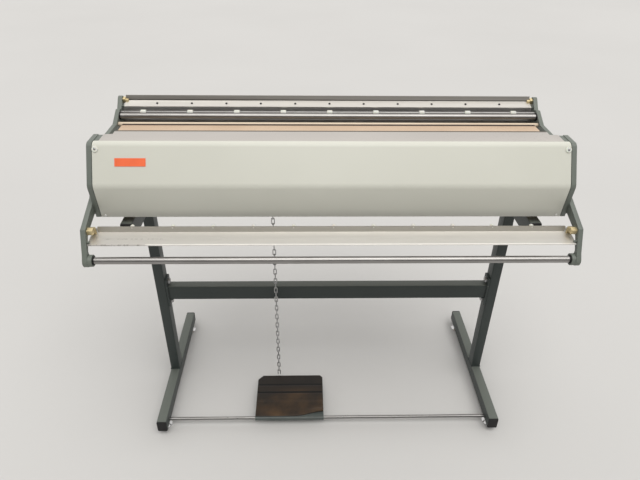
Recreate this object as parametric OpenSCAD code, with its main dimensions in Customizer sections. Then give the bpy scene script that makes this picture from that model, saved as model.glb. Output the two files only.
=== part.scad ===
// Treadle-worked folding machine for wide sheets, on a two-legged stand.
// +X runs along the machine, +Y to the back and +Z up, from the floor under its middle.

/* [Stand] */
// Distance between the centre lines of the two legs
leg_spread = 1040; // [800:10:1100]
// Width of the stand tubes along X
tube_w = 30; // [25:1:40]
// Depth of the leg columns along Y
column_d = 40; // [30:1:60]
// Length of the leg columns
column_len = 623; // [500:1:750]
// Wall of the stand tubes
tube_wall = 2; // [1.5:0.5:3]
// Height of the foot tubes
foot_h = 40; // [30:1:50]
// Reach of the feet in front of the columns
foot_front = 247; // [200:1:270]
// Reach of the feet behind the columns
foot_rear = 277; // [220:1:320]
// Height of the top arms
arm_h = 50; // [40:1:60]
// Reach of the top arms in front of the columns
arm_front = 170; // [120:1:180]
// Reach of the top arms behind the columns
arm_rear = 170; // [130:1:200]
// Offset of the top arms outwards from the columns
arm_out = 9; // [0:1:12]
// Thickness of the flange of a tube end cap
cap_t = 4; // [3:0.5:6]
// Length of the plug of a tube end cap
cap_plug = 15; // [8:1:25]
// Height of the levelling glides under the feet
glide_h = 15; // [12:1:25]
// Diameter of the levelling glides
glide_d = 40; // [30:1:50]
// Diameter of the glide stems
stem_d = 10; // [8:1:12]
// Length of the glide stems inside the feet
stem_len = 14; // [8:1:25]
// Distance of the glides from the ends of the feet
glide_inset = 40; // [30:1:70]

/* [Stretcher] */
// Height of the underside of the stretcher above the floor
stretcher_z = 356; // [250:1:450]
// Height of the stretcher tube
stretcher_h = 50; // [40:1:70]
// Depth of the stretcher tube
stretcher_d = 30; // [20:1:40]
// Thickness of the plates welded on its ends
end_plate_t = 6; // [4:0.5:10]
// Height of the end plates
end_plate_h = 104; // [95:1:140]
// Distance of each stretcher bolt from the tube
stretcher_bolt_gap = 13; // [11:1:18]

/* [Treadle] */
// Diameter of the treadle rod
rod_d = 10; // [8:0.5:14]
// Place of the treadle rod in front of the columns
rod_y = -206; // [-225:1:-190]
// Height of the treadle rod above the floor
rod_z = 24; // [22:1:32]
// How far the rod reaches into each foot
rod_seat = 10; // [5:1:20]
// Outside diameter of the pedal sleeve
sleeve_d = 16; // [14:0.5:20]
// Width of the pedal
pedal_w = 218; // [160:1:260]
// Place of the pedal's middle along the rod
pedal_x = -124; // [-160:1:-90]
// Length of the pedal behind the rod
pedal_back = 160; // [140:1:165]
// Length of the pedal in front of the rod
pedal_nose = 3; // [2:1:20]
// Thickness of the pedal plate
pedal_t = 3; // [2:0.5:5]
// Cut across the pedal's rear left corner
pedal_cut = 16; // [5:1:40]
// Tilt of the pedal at rest in degrees
pedal_tilt = 4; // [2:0.5:6]
// Travel of the pedal in degrees
pedal_travel = 11; // [8:0.5:11]
// Thickness of the rubber mat
mat_t = 3; // [2:0.5:5]
// Margin of the mat inside the plate
mat_margin = 1; // [1:1:15]
// Width of a mat rib
rib_w = 25; // [20:1:30]
// Height of a mat rib
rib_h = 1.5; // [1:0.5:3]
// Distance between mat ribs
rib_pitch = 31; // [31:1:44]
// Thickness of the tab that carries the pedal eye
eye_tab_t = 3; // [2:0.5:4]
// Width of the tab that carries the pedal eye
eye_tab_w = 16; // [10:1:24]
// Length of the tab under the pedal
eye_tab_len = 32; // [20:1:60]
// Mean radius of the pedal eye
eye_r = 7; // [6.8:0.1:9]
// Wire of the pedal eye
eye_wire = 4; // [3:0.1:4.2]

/* [Chain] */
// Place of the chain along the machine
chain_x = -163; // [-190:1:-140]
// Wire of a chain link
link_wire = 3; // [2.5:0.1:3.2]
// Outside length of a chain link
link_len = 24; // [23:0.5:30]
// Outside width of a chain link
link_w = 11; // [10.5:0.5:13]
// Free play between neighbouring links
link_play = 0.3; // [0.2:0.1:0.5]
// Diameter of the shackle pin
shackle_pin_d = 6; // [5:0.5:8]
// Thickness of the shackle cheeks
shackle_t = 3; // [2:0.5:5]
// Width of the shackle cheeks
shackle_w = 14; // [12:1:20]
// Room between the lever and each shackle cheek
shackle_room = 3; // [1:0.5:4]
// Drop from the shackle pin to the underside of the shackle bridge
shackle_drop = 20; // [18:1:30]
// Thickness of the shackle bridge
bridge_t = 4; // [3:0.5:6]
// Mean radius of the shackle ring
ring_r = 6; // [5.5:0.1:8]
// Wire of the shackle ring
ring_wire = 4; // [3:0.1:4]
// Diameter of the shackle shank
shank_d = 6; // [4:0.5:8]

/* [Bridge] */
// Clear width between the side plates
plate_gap = 1200; // [1160:10:1300]
// Thickness of the side plates
plate_t = 12; // [8:1:16]
// Size of the square cross rails
rail_size = 40; // [30:1:46]
// Wall of the cross rails
rail_wall = 2.5; // [2:0.5:4]
// Thickness of the plates that close the rail ends
rail_end_t = 8; // [6:1:12]
// Place of the front rail's middle
front_rail_y = -5; // [-8:1:10]
// Place of the rear rail's middle
rear_rail_y = 80; // [60:1:95]
// Diameter of the bolt shanks
bolt_d = 10; // [8:1:12]
// Width across flats of the bolt heads
bolt_af = 16; // [13:1:19]
// Height of the bolt heads
bolt_head = 6.4; // [5:0.1:8]
// Distance between the two bolts at a rail end
rail_bolt_pitch = 20; // [18:1:28]
// Height of the flat of the bed above the deck
bed_h = 160; // [150:1:165]
// Thickness of the bed sheet
bed_t = 3; // [2:0.5:5]
// Room between the bed and each side plate
bed_room = 15; // [14:1:25]
// Rear edge of the bed
bed_rear_y = 112; // [104:1:114]
// Bend between the flat and the slope of the bed
bed_bend_y = 40; // [30:1:50]
// Front edge of the bed
bed_front_y = -150; // [-152:1:-140]
// Height of the bed's front edge above the deck
bed_front_h = 22; // [15:1:35]
// Thickness of the ribs under the bed
web_t = 6; // [4:1:10]
// Distance of the outer ribs from the middle
web_x = 450; // [400:5:490]
// Diameter of the roller at the bed's rear edge
roller_d = 12; // [8:0.5:12.5]
// Diameter of the roller's journals
roller_journal_d = 6; // [5:0.5:7]
// Gap between the bed and its roller
roller_gap = 4; // [3:0.5:4.5]

/* [Clamp] */
// Diameter of the rocker shaft
shaft_d = 20; // [16:1:24]
// Height of the rocker shaft above the deck
shaft_h = 62; // [60:1:66]
// Length of the lever that the chain pulls
lever_len = 115; // [105:1:125]
// Thickness of the chain lever
lever_t = 8; // [6:0.5:10]
// Outside diameter of the hubs on the shaft
hub_d = 36; // [30:1:40]
// Width of the hubs on the shaft
hub_w = 20; // [12:1:30]
// Half height of the chain lever at its tip
lever_tip = 10; // [9:0.5:12]
// Depth of the chain lever's underside where it passes over the front rail
lever_waist = 5.5; // [5:0.5:6]
// Thickness of the clamp arms
clamp_arm_t = 8; // [6:0.5:9]
// Half width of the clamp arms
clamp_arm_half = 10; // [8:0.5:14]
// Place of the clamp line on the bed
clamp_y = -35; // [-45:1:-25]
// Size of the square clamp beam
beam_size = 25; // [20:1:30]
// Wall of the clamp beam
beam_wall = 2; // [1.5:0.5:3]
// Width of the rubber strip under the beam
strip_w = 16; // [10:1:20]
// Thickness of the rubber strip
strip_t = 6; // [4:0.5:10]
// Gap that the closed clamp leaves for the sheet
sheet_gap = 0.8; // [0.6:0.1:2]
// Distance of the return springs from the middle
spring_x = 350; // [260:5:400]
// Mean diameter of the return springs
spring_d = 20; // [19:0.5:24]
// Wire of the return springs
spring_wire = 2; // [1.5:0.1:2.5]
// Turns of the return springs
spring_turns = 8; // [5:1:9]
// Height of a spring arm's pad above the shaft's axis
pad_rise = 28; // [22:1:32]
// Thickness of a spring arm's pad
pad_t = 5; // [4:0.5:8]
// Width of a spring arm
spring_arm_w = 12; // [8:1:18]
// Thickness of the spring seats
seat_t = 3; // [2:0.5:5]
// Diameter of the stud inside a return spring
stud_d = 14; // [10:0.5:15]
// Height of the stud inside a return spring
stud_h = 10; // [5:1:14]

/* [Cover] */
// Bottom edge of the cover, front to back
cover_foot_y = -165; // [-170:1:-162]
// Bottom edge of the cover above the deck
cover_foot_h = 18.5; // [15:0.5:30]
// Foremost fold of the cover, front to back
cover_nose_y = -178; // [-185:1:-172]
// Foremost fold of the cover above the deck
cover_nose_h = 111; // [100:1:130]
// Top front edge of the cover, front to back
cover_top_y = -124; // [-130:1:-118]
// Top of the cover above the deck
cover_top_h = 202; // [198:1:215]
// Rear edge of the cover's top panel
cover_rear_y = -40; // [-48:1:-36]
// Radius of the cover's foremost fold
nose_round = 24; // [4:1:30]
// Radius of the cover's top front edge
cover_round = 16; // [8:1:24]
// Thickness of the cover sheet
cover_t = 2; // [1:0.5:3]
// Depth of the lip at the rear of the top panel
lip_h = 12; // [8:1:16]
// Gap between the cover's ends and the cheeks
cover_gap = 1.5; // [0.5:0.5:4]
// Distance of the top panel's ends from the cheeks
panel_in = 13; // [2:1:14]
// Distance of the top panel's seam behind the top fold
seam_in = 14; // [12:1:24]
// Width cut from each rear corner of the top panel
notch_w = 35; // [25:1:60]
// Where the cut in the top panel starts
notch_y = -67; // [-74:1:-62]
// Thickness of the end cheeks
cheek_t = 12; // [8:1:16]
// Depth of the end cheeks behind the sheet
cheek_d = 40; // [30:1:42]
// Width of the ledge that carries the sheet
ledge_w = 18; // [14:1:30]
// Thickness of the ledge that carries the sheet
ledge_t = 3; // [2:0.5:5]
// Distance of the upper cover screws from the cheeks
cover_screw_in = 9; // [8:0.5:12]
// Distance of the lower cover screws from the cheeks
lower_screw_in = 13; // [7:0.5:14]
// Distance of the upper screws below the top fold along the front
upper_screw_drop = 15; // [13:1:30]
// Distance of the lower screws above the bottom edge
lower_screw_rise = 6; // [5:0.5:12]
// Diameter of the white washers
washer_d = 15; // [10:0.5:15.5]
// Thickness of the white washers
washer_t = 2.5; // [1.5:0.5:4]
// Diameter of the cover screw heads
screw_head_d = 6; // [5:0.5:9]
// Diameter of the cover screw shanks
screw_d = 3; // [2.5:0.5:4]
// Length of the name plate
name_w = 75; // [50:1:100]
// Width of the name plate
name_h = 20; // [15:1:30]
// Thickness of the name plate
name_t = 1; // [0.5:0.5:2]
// Place of the name plate's middle along the machine
name_x = -495; // [-510:5:-300]
// Place of the name plate's middle up the front from the nose, as a distance
name_rise = 59; // [40:1:66]

/* [Round bars] */
// Diameter of the two round bars
bar_d = 18; // [14:0.5:20]
// Diameter of the bar journals
journal_d = 10; // [8:0.5:12]
// Diameter of the bar bushes in the side plates
bush_d = 14; // [13:0.5:16]
// Diameter of the flanges of the bar bushes
bush_flange_d = 22; // [20:1:24]
// Thickness of the flanges of the bushes
bush_flange_t = 3; // [2:0.5:4]
// Diameter of the bosses round the lower bar's ends
boss_d = 32; // [26:1:34]
// Length of those bosses inside the side plates
boss_len = 10; // [6:1:10]

/* [Upper station] */
// Upper round bar, front to back
upper_bar_y = 145; // [143:1:147]
// Upper round bar above the deck
upper_bar_h = 171; // [170:1:174]
// Upper flap pivot, front to back
upper_pivot_y = 198; // [195:1:204]
// Upper flap pivot above the deck
upper_pivot_h = 200; // [197:1:206]
// Depth of the upper flap's plate
upper_flap_d = 29; // [24:1:31]
// Slope of the upper flap's plate in degrees
upper_slope = 16; // [12:1:18]
// Backward lean of the upper flap's flange in degrees
upper_lean = 8; // [0:1:12]
// Diameter of the pinch wheels
wheel_d = 14; // [10:0.5:15]
// Width of the pinch wheels
wheel_w = 16; // [10:1:24]
// Distance between pinch wheels
wheel_pitch = 134; // [80:1:180]
// Diameter of the pinch wheel shaft
wheel_shaft_d = 8; // [6:0.5:8]
// Angle of the pinch wheels behind the bar in degrees
wheel_angle = 20; // [15:1:22]
// Diameter of the flap screw heads
flap_screw_d = 6.5; // [6:0.5:11]
// Height of the flap screw heads
flap_screw_h = 2; // [2:0.5:4]
// Distance of the upper flap's ends from the side plates
upper_room = 8; // [7:0.5:10]
// Length of the upper brass blocks' foot on the flap
upper_foot = 8; // [6:1:14]
// Distance of the rear guide behind the middle of the pinch wheels
guide_back = 10.2; // [9.8:0.2:11]
// Height of the upright part of the rear guide
guide_h = 35; // [25:1:45]
// Depth of the sloping part of the rear guide
guide_d = 27; // [20:1:28]
// Thickness of the rear guide
guide_t = 2; // [1:0.5:3]

/* [Lower station] */
// Lower round bar, front to back
lower_bar_y = -263; // [-263:1:-255]
// Lower round bar above the deck
lower_bar_h = -48; // [-55:1:-44]
// Lower flap pivot, front to back
lower_pivot_y = -235; // [-238:1:-232]
// Lower flap pivot above the deck
lower_pivot_h = 19; // [16:1:20]
// Depth of the lower flap's plate
lower_flap_d = 47; // [42:1:54]
// Slope of the lower flap's plate in degrees
lower_slope = 10; // [6:1:14]
// Backward lean of the lower flap's flange in degrees
lower_lean = 1; // [0:1:8]
// Height of the lower pivot above the plate
lower_pivot_rise = 21.5; // [18:0.5:24]
// Length of the lower plate in front of its pivot
lower_overhang = 26; // [22:1:28]
// Diameter of the studs behind the lower flange
flange_stud_d = 10; // [6:0.5:11]
// Height of the heads of those studs
flange_stud_h = 8; // [4:0.5:10]
// Distance of the lower flap's ends from the side plates
lower_room = 1; // [0.5:0.5:4]
// Distance of the lower flange's ends from the side plates
flange_room = 16; // [14:1:24]
// Width of the lower brass pivot blocks
lower_block_w = 15; // [12:1:15]

/* [Flaps] */
// Thickness of the flap profiles
flap_t = 3; // [2:0.5:4]
// Height of the flap flanges
flange_h = 15; // [12:1:20]
// Distance between the fasteners along a flap
fastener_pitch = 100; // [60:5:150]
// Shank of the flap fasteners
fastener_d = 4; // [3:0.5:5]
// Half length of the brass pivot blocks
block_half = 6.5; // [6:0.5:7.5]
// Half height of the brass pivot blocks
block_top = 6.5; // [6:0.5:7.5]
// Diameter of the pivot pins
pivot_d = 8; // [6:0.5:8]
// Diameter of the stop pins
stop_d = 5; // [5:0.5:8]
// How far the stop pins reach over a flap's end
stop_reach = 5; // [4:1:14]

/* [Fits] */
// Radial play of shafts and pins that turn
run_fit = 0.05; // [0.03:0.01:0.08]
// Radial play of bolts and fixed pins in their holes
hole_fit = 0.1; // [0.05:0.05:0.3]
// Gap between faces that pass or meet curved pieces
face_gap = 0.3; // [0.2:0.1:0.5]
// Play of the chain in its eye, ring and lever hole
hook_gap = 0.5; // [0.4:0.1:0.6]

/* [Hidden] */
$fn = 48;

// Points in these lists are front-to-back and height: they are drawn in YZ and stretched along X.
leg_x = leg_spread / 2;
arm_x = leg_x + arm_out;
foot_top_z = glide_h + foot_h;
arm_z = foot_top_z + column_len;
deck_z = arm_z + arm_h;
half_gap = plate_gap / 2;
plate_out = half_gap + plate_t;
stretcher_half = leg_x - tube_w / 2;
rail_top_z = deck_z + rail_size;
nut_t = bolt_head;

// Pedal eye, chain and rocker follow each other, so the travel of one gives that of the next.
eye_back = pedal_back + eye_r + eye_wire / 2;
eye_up = sleeve_d / 2 - 1 - eye_tab_t / 2;
function pedal_point(back, up, tilt) =
    [rod_y + back * cos(tilt) - up * sin(tilt), rod_z + back * sin(tilt) + up * cos(tilt)];
eye_rest = pedal_point(eye_back, eye_up, pedal_tilt);
eye_low = pedal_point(eye_back, eye_up, pedal_tilt - pedal_travel);
eye_mid = pedal_point(eye_back, eye_up, pedal_tilt - pedal_travel / 2);
chain_y = (eye_rest[0] + eye_mid[0]) / 2;
chain_travel = eye_rest[1] - eye_low[1];
rocker_half = asin(chain_travel / 2 / lever_len);
shaft_y = chain_y + lever_len * (1 + cos(rocker_half)) / 2;
shaft_z = deck_z + shaft_h;
shaft_at = [shaft_y, shaft_z];
lever_hole_r = shackle_pin_d / 2 + 2.4 * hook_gap;
pin_z = shaft_z + lever_len * sin(rocker_half) - 1.4 * hook_gap;
link_r = (link_w - link_wire) / 2;
link_straight = link_len - link_w;
link_reach = link_len - link_wire;
link_pitch = link_reach - link_wire - link_play;
hook_z = eye_rest[1] + eye_r - eye_wire / 2 - link_wire / 2 - hook_gap;
ring_drop = link_wire / 2 + ring_wire / 2 + link_play;
shank_min = 4;
chain_room = pin_z - shackle_drop - shank_min - 2 * ring_r + ring_drop - link_reach - hook_z;
link_count = floor(chain_room / link_pitch) + 1;
chain_top_z = hook_z + (link_count - 1) * link_pitch + link_reach;
ring_z = chain_top_z - ring_drop + ring_r;

// Bridge
bed_z = deck_z + bed_h;
bed_line = [[bed_front_y, deck_z + bed_front_h], [bed_bend_y, bed_z], [bed_rear_y, bed_z]];
bed_half = half_gap - bed_room;
bed_slope = atan2(bed_line[1][1] - bed_line[0][1], bed_line[1][0] - bed_line[0][0]);
function bed_at(y) = bed_line[0][1] + (y - bed_front_y) * tan(bed_slope);
roller_at = [bed_rear_y + roller_gap + roller_d / 2, bed_z + 1 - roller_d / 2];
upper_bar = [upper_bar_y, deck_z + upper_bar_h];
lower_bar_at = [lower_bar_y, deck_z + lower_bar_h];
upper_pivot = [upper_pivot_y, deck_z + upper_pivot_h];
lower_pivot = [lower_pivot_y, deck_z + lower_pivot_h];
wheel_at = upper_bar + (bar_d / 2 + wheel_d / 2 + face_gap) * [cos(wheel_angle), sin(wheel_angle)];
horn_r = pivot_d / 2 + 8;
edge_margin = 10;
upper_flange_x = half_gap - bush_flange_t;
lower_flange_x = upper_flange_x - boss_len;

// Flap profiles: front edge, inner corner and top of the flange
function slope_dir(a) = [cos(a), sin(a)];
function slope_up(a) = [-sin(a), cos(a)];
upper_corner = upper_pivot + [2, -2];
upper_front = upper_corner - upper_flap_d * slope_dir(upper_slope);
upper_line = [upper_front, upper_corner, upper_corner + flange_h * slope_up(-upper_lean)];
lower_edge = lower_pivot - lower_pivot_rise * slope_up(lower_slope);
lower_front = lower_edge - lower_overhang * slope_dir(lower_slope);
lower_corner = lower_front + lower_flap_d * slope_dir(lower_slope);
lower_line = [lower_front, lower_corner, lower_corner + flange_h * slope_up(-lower_lean)];
upper_half = half_gap - upper_room;
lower_half = half_gap - lower_room;
lower_flange_half = half_gap - flange_room;
upper_stop = upper_front + 8 * slope_dir(upper_slope)
    - (flap_t + stop_d / 2 + face_gap) * slope_up(upper_slope);
lower_stop = lower_front + 7 * slope_dir(lower_slope) + (stop_d / 2 + face_gap) * slope_up(lower_slope);
upper_drop = flap_t - (upper_corner - upper_pivot) * slope_up(upper_slope);
guide_top = wheel_at + [guide_back, -guide_back * 3 / 4];
guide_line = [guide_top - [0, guide_h], guide_top, guide_top + guide_d * slope_dir(24)];
fastener_steps = floor((upper_half - 40) / fastener_pitch);
wheel_steps = floor((half_gap - 50) / wheel_pitch);

// Clamp, drawn closed on the bed and then turned up to its rest
clamp_foot = [clamp_y, bed_at(clamp_y)];
beam_up = sheet_gap + strip_t + beam_size / 2;
beam_at = clamp_foot + beam_up * slope_up(bed_slope);
clamp_arm_x = bed_half + (bed_room - clamp_arm_t) / 2;
rocker_bush_d = shaft_d + 6;
rocker_flange_d = shaft_d + 12;
pad_z = shaft_z + pad_rise;
seat_top_z = rail_top_z + seat_t;
spring_base_z = seat_top_z + face_gap;
spring_len = pad_z - face_gap - spring_base_z;

// Cover
cover_foot = [cover_foot_y, deck_z + cover_foot_h];
cover_nose = [cover_nose_y, deck_z + cover_nose_h];
cover_top = [cover_top_y, deck_z + cover_top_h];
cover_rear = [cover_rear_y, deck_z + cover_top_h];
cover_seam = [cover_top_y + seam_in, deck_z + cover_top_h];
cover_half = half_gap - cheek_t;
front_len = norm(cover_top - cover_nose);

function unit(v) = v / norm(v);
function normal(a, b) = [a[1] - b[1], b[0] - a[0]] / norm(b - a);
// Point i of a line moved aside by t, with mitred corners
function aside(p, i, t) =
    i == 0 ? p[0] + t * normal(p[0], p[1])
    : i == len(p) - 1 ? p[i] + t * normal(p[i - 1], p[i])
    : let (n1 = normal(p[i - 1], p[i]), n2 = normal(p[i], p[i + 1])) p[i] + t * (n1 + n2) / (1 + n1 * n2);
// Outline of a sheet that lies between two distances from a line
function sheet(p, from, to) =
    concat([for (i = [0:len(p) - 1]) aside(p, i, from)], [for (i = [len(p) - 1:-1:0]) aside(p, i, to)]);
function arc(c, r, from, to, n) =
    [for (i = [0:n]) let (a = from + (to - from) * i / n) c + r * [cos(a), sin(a)]];
// Round corner b of the path a, b, c
function rounded(a, b, c, r, n) =
    let (u = unit(a - b), v = unit(c - b), half = acos(u * v) / 2, m = b + unit(u + v) * r / sin(half))
    let (s = b + u * r / tan(half) - m, e = b + v * r / tan(half) - m)
    let (from = atan2(s[1], s[0]), turn = atan2(e[1], e[0]) - from)
    arc(m, r, from, from + (turn > 180 ? turn - 360 : turn < -180 ? turn + 360 : turn), n);

cover_bend = rounded(cover_nose, cover_top, cover_rear, cover_round, 8);
nose_bend = rounded(cover_foot, cover_nose, cover_top, nose_round, 5);
cover_line = concat([cover_foot], nose_bend, cover_bend, [cover_seam]);
panel_line = [cover_seam + [face_gap, 0], cover_rear, cover_rear - [0, lip_h]];
cheek_line = concat([cover_foot], nose_bend, cover_bend, [[notch_y, cover_top[1]]]);
cheek_back = [cover_foot, cover_nose, cover_top, [notch_y, cover_top[1]]];

plate_outline = concat(
    arc(lower_bar_at, boss_d / 2, 60, -210, 18),
    [lower_pivot + [-33, -45], lower_pivot + [-10, 10]],
    [[cover_foot_y + 13, deck_z + 67], [cover_foot_y + 45, deck_z + 102], [cover_foot_y + 73, bed_z + 1]],
    [upper_bar + [-39, -10], upper_bar + [9, 16], wheel_at + [8, 8]],
    arc(upper_pivot, horn_r, 120, -45, 10),
    [upper_pivot - [18, 48], shaft_at + [75, 10]],
    [[rear_rail_y + rail_size, deck_z], [cover_foot_y + 55, deck_z], lower_pivot + [65, 11]],
    [lower_pivot + [23, -2], lower_pivot + [-2, -13], lower_pivot + [-20, -45]]);

module stretched(x0, x1) {
    translate([x0, 0, 0])
        rotate([90, 0, 90])
            linear_extrude(x1 - x0)
                children();
}

module rod_x(d, x0, x1, at) {
    translate([x0, at[0], at[1]])
        rotate([0, 90, 0])
            cylinder(d = d, h = x1 - x0);
}

module box(x, y, z) {
    translate([x[0], y[0], z[0]])
        cube([x[1] - x[0], y[1] - y[0], z[1] - z[0]]);
}

module both_sides() {
    children();
    mirror([1, 0, 0])
        children();
}

module hex_head(af, h) {
    cylinder(d = af / cos(30), h = h, $fn = 6);
}

// Turns a piece drawn along +Z so that +Z points along a direction in YZ
module facing(at, dir) {
    translate([0, at[0], at[1]])
        rotate([atan2(-dir[0], dir[1]), 0, 0])
            children();
}

paint = [0.33, 0.37, 0.35];
cover_paint = [0.80, 0.78, 0.71];
bright = [0.78, 0.78, 0.78];
chrome = [0.86, 0.87, 0.89];
steel = [0.55, 0.56, 0.57];
brass = [0.76, 0.60, 0.28];
black = [0.07, 0.07, 0.07];
white = [0.93, 0.92, 0.88];

// Feet, columns and top arms of the two legs

module foot() {
    tube_front = -foot_front + cap_t;
    tube_rear = foot_rear - cap_t;
    color(paint)
        difference() {
            box([leg_x - tube_w / 2, leg_x + tube_w / 2], [tube_front, tube_rear], [glide_h, foot_top_z]);
            box([leg_x - tube_w / 2 + tube_wall, leg_x + tube_w / 2 - tube_wall],
                [tube_front - 1, tube_rear + 1], [glide_h + tube_wall, foot_top_z - tube_wall]);
            rod_x(rod_d + 2 * hole_fit, leg_x - tube_w, leg_x, [rod_y, rod_z]);
            for (y = [-foot_front + glide_inset, foot_rear - glide_inset])
                translate([leg_x, y, glide_h - 1])
                    cylinder(d = stem_d + 2 * hole_fit, h = tube_wall + 2);
        }
}

module foot_right() { foot(); }

module foot_left() {
    mirror([1, 0, 0])
        foot();
}

module leg_column() {
    color(paint)
        difference() {
            box([leg_x - tube_w / 2, leg_x + tube_w / 2], [-column_d / 2, column_d / 2],
                [foot_top_z, arm_z]);
            box([leg_x - tube_w / 2 + tube_wall, leg_x + tube_w / 2 - tube_wall],
                [-column_d / 2 + tube_wall, column_d / 2 - tube_wall], [foot_top_z - 1, arm_z + 1]);
            stretcher_bolt_places()
                translate([-1, 0, 0])
                    rotate([0, 90, 0])
                        cylinder(d = bolt_d + 2 * hole_fit, h = tube_wall + 2);
        }
}

module leg_column_right() { leg_column(); }

module leg_column_left() {
    mirror([1, 0, 0])
        leg_column();
}

module top_arm() {
    color(paint)
        difference() {
            box([arm_x - tube_w / 2, arm_x + tube_w / 2], [-arm_front + cap_t, arm_rear - cap_t],
                [arm_z, deck_z]);
            box([arm_x - tube_w / 2 + tube_wall, arm_x + tube_w / 2 - tube_wall],
                [-arm_front, arm_rear], [arm_z + tube_wall, deck_z - tube_wall]);
            for (y = [front_rail_y, rear_rail_y])
                translate([arm_x, y, deck_z - tube_wall - 1])
                    cylinder(d = bolt_d + 2 * hole_fit, h = tube_wall + 2);
        }
}

module top_arm_right() { top_arm(); }

module top_arm_left() {
    mirror([1, 0, 0])
        top_arm();
}

// A cap at the origin closes a tube that runs along +Y from it
module end_cap(h) {
    plug_room = tube_wall + hole_fit;
    translate([-tube_w / 2, -cap_t, 0])
        cube([tube_w, cap_t, h]);
    translate([-tube_w / 2 + plug_room, -1, plug_room])
        cube([tube_w - 2 * plug_room, cap_plug + 1, h - 2 * plug_room]);
}

module tube_end_caps() {
    color(black)
        both_sides() {
            translate([leg_x, -foot_front + cap_t, glide_h])
                end_cap(foot_h);
            translate([leg_x, foot_rear - cap_t, glide_h])
                mirror([0, 1, 0])
                    end_cap(foot_h);
            translate([arm_x, -arm_front + cap_t, arm_z])
                end_cap(arm_h);
            translate([arm_x, arm_rear - cap_t, arm_z])
                mirror([0, 1, 0])
                    end_cap(arm_h);
        }
}

module levelling_glides() {
    rim_h = glide_h / 4;
    collar_d = 2 * stem_d;
    color(chrome)
        both_sides()
            for (y = [-foot_front + glide_inset, foot_rear - glide_inset])
                translate([leg_x, y, 0]) {
                    cylinder(d = glide_d, h = rim_h);
                    translate([0, 0, rim_h])
                        cylinder(d1 = glide_d, d2 = collar_d, h = 2 * rim_h);
                    translate([0, 0, 3 * rim_h])
                        cylinder(d = collar_d, h = rim_h);
                    cylinder(d = stem_d, h = glide_h + stem_len);
                }
}

// Stretcher between the columns

module stretcher_bolt_places() {
    middle = stretcher_z + stretcher_h / 2;
    reach = stretcher_h / 2 + stretcher_bolt_gap;
    for (s = [-1, 1])
        translate([stretcher_half, 0, middle + s * reach])
            children();
}

module stretcher_beam() {
    tube_half = stretcher_half - end_plate_t;
    plate_z = stretcher_z + stretcher_h / 2 - end_plate_h / 2;
    color(paint) {
        difference() {
            box([-tube_half, tube_half], [-stretcher_d / 2, stretcher_d / 2],
                [stretcher_z, stretcher_z + stretcher_h]);
            box([-tube_half - 1, tube_half + 1],
                [-stretcher_d / 2 + tube_wall, stretcher_d / 2 - tube_wall],
                [stretcher_z + tube_wall, stretcher_z + stretcher_h - tube_wall]);
        }
        both_sides()
            difference() {
                box([tube_half, stretcher_half], [-column_d / 2, column_d / 2],
                    [plate_z, plate_z + end_plate_h]);
                stretcher_bolt_places()
                    translate([-end_plate_t - 1, 0, 0])
                        rotate([0, 90, 0])
                            cylinder(d = bolt_d + 2 * hole_fit, h = end_plate_t + 2);
            }
    }
}

module stretcher_bolts() {
    color(steel)
        both_sides()
            stretcher_bolt_places()
                translate([-end_plate_t, 0, 0])
                    rotate([0, 90, 0]) {
                        translate([0, 0, -bolt_head])
                            hex_head(bolt_af, bolt_head);
                        cylinder(d = bolt_d, h = end_plate_t + tube_wall + nut_t);
                    }
}

// Treadle

module treadle_rod() {
    reach = stretcher_half + rod_seat;
    color(steel)
        rod_x(rod_d, -reach, reach, [rod_y, rod_z]);
}

module on_pedal() {
    translate([pedal_x, rod_y, rod_z])
        rotate([pedal_tilt, 0, 0])
            children();
}

plate_low = sleeve_d / 2 - 1;
plate_top = plate_low + pedal_t;

function pedal_shape(inset) =
    let (x = pedal_w / 2 - inset, front = -pedal_nose + inset, back = pedal_back - inset, cut = pedal_cut)
    [[-x, front], [x, front], [x, back - cut / 2], [x - cut / 2, back], [-x + cut, back], [-x, back - cut]];

module pedal_plate() {
    color(paint)
        on_pedal() {
            difference() {
                union() {
                    translate([0, 0, plate_low])
                        linear_extrude(pedal_t)
                            polygon(pedal_shape(0));
                    rod_x(sleeve_d, -pedal_w / 2, pedal_w / 2, [0, 0]);
                }
                rod_x(rod_d + 2 * run_fit, -pedal_w, pedal_w, [0, 0]);
            }
        }
}

module pedal_mat() {
    first = -pedal_nose + mat_margin;
    last = pedal_back - mat_margin - pedal_cut - rib_w;
    color([0.12, 0.10, 0.09])
        on_pedal() {
            translate([0, 0, plate_top])
                linear_extrude(mat_t)
                    polygon(pedal_shape(mat_margin));
            for (y = [first:rib_pitch:last])
                box([-pedal_w / 2 + mat_margin, pedal_w / 2 - mat_margin], [y, y + rib_w],
                    [plate_top + mat_t / 2, plate_top + mat_t + rib_h]);
        }
}

module pedal_eye() {
    color(bright)
        on_pedal()
            translate([chain_x - pedal_x, 0, 0]) {
                box([-eye_tab_w / 2, eye_tab_w / 2], [pedal_back - eye_tab_len, pedal_back + 3 * eye_wire / 4],
                    [plate_low - eye_tab_t, plate_low]);
                translate([0, eye_back, eye_up])
                    rotate([0, 90, 0])
                        rotate_extrude()
                            translate([eye_r, 0])
                                circle(d = eye_wire);
            }
}

// One link stands along Z in the XZ plane
module chain_link() {
    for (s = [-1, 1]) {
        translate([s * link_r, 0, -link_straight / 2])
            cylinder(d = link_wire, h = link_straight);
        translate([0, 0, s * link_straight / 2])
            rotate([s * 90, 0, 0])
                rotate_extrude(angle = 180)
                    translate([link_r, 0])
                        circle(d = link_wire);
    }
}

module pedal_chain() {
    color(bright)
        for (i = [0:link_count - 1])
            translate([chain_x, chain_y, hook_z + link_reach / 2 + i * link_pitch])
                rotate([0, 0, i % 2 == 0 ? 0 : 90])
                    chain_link();
}

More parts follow.
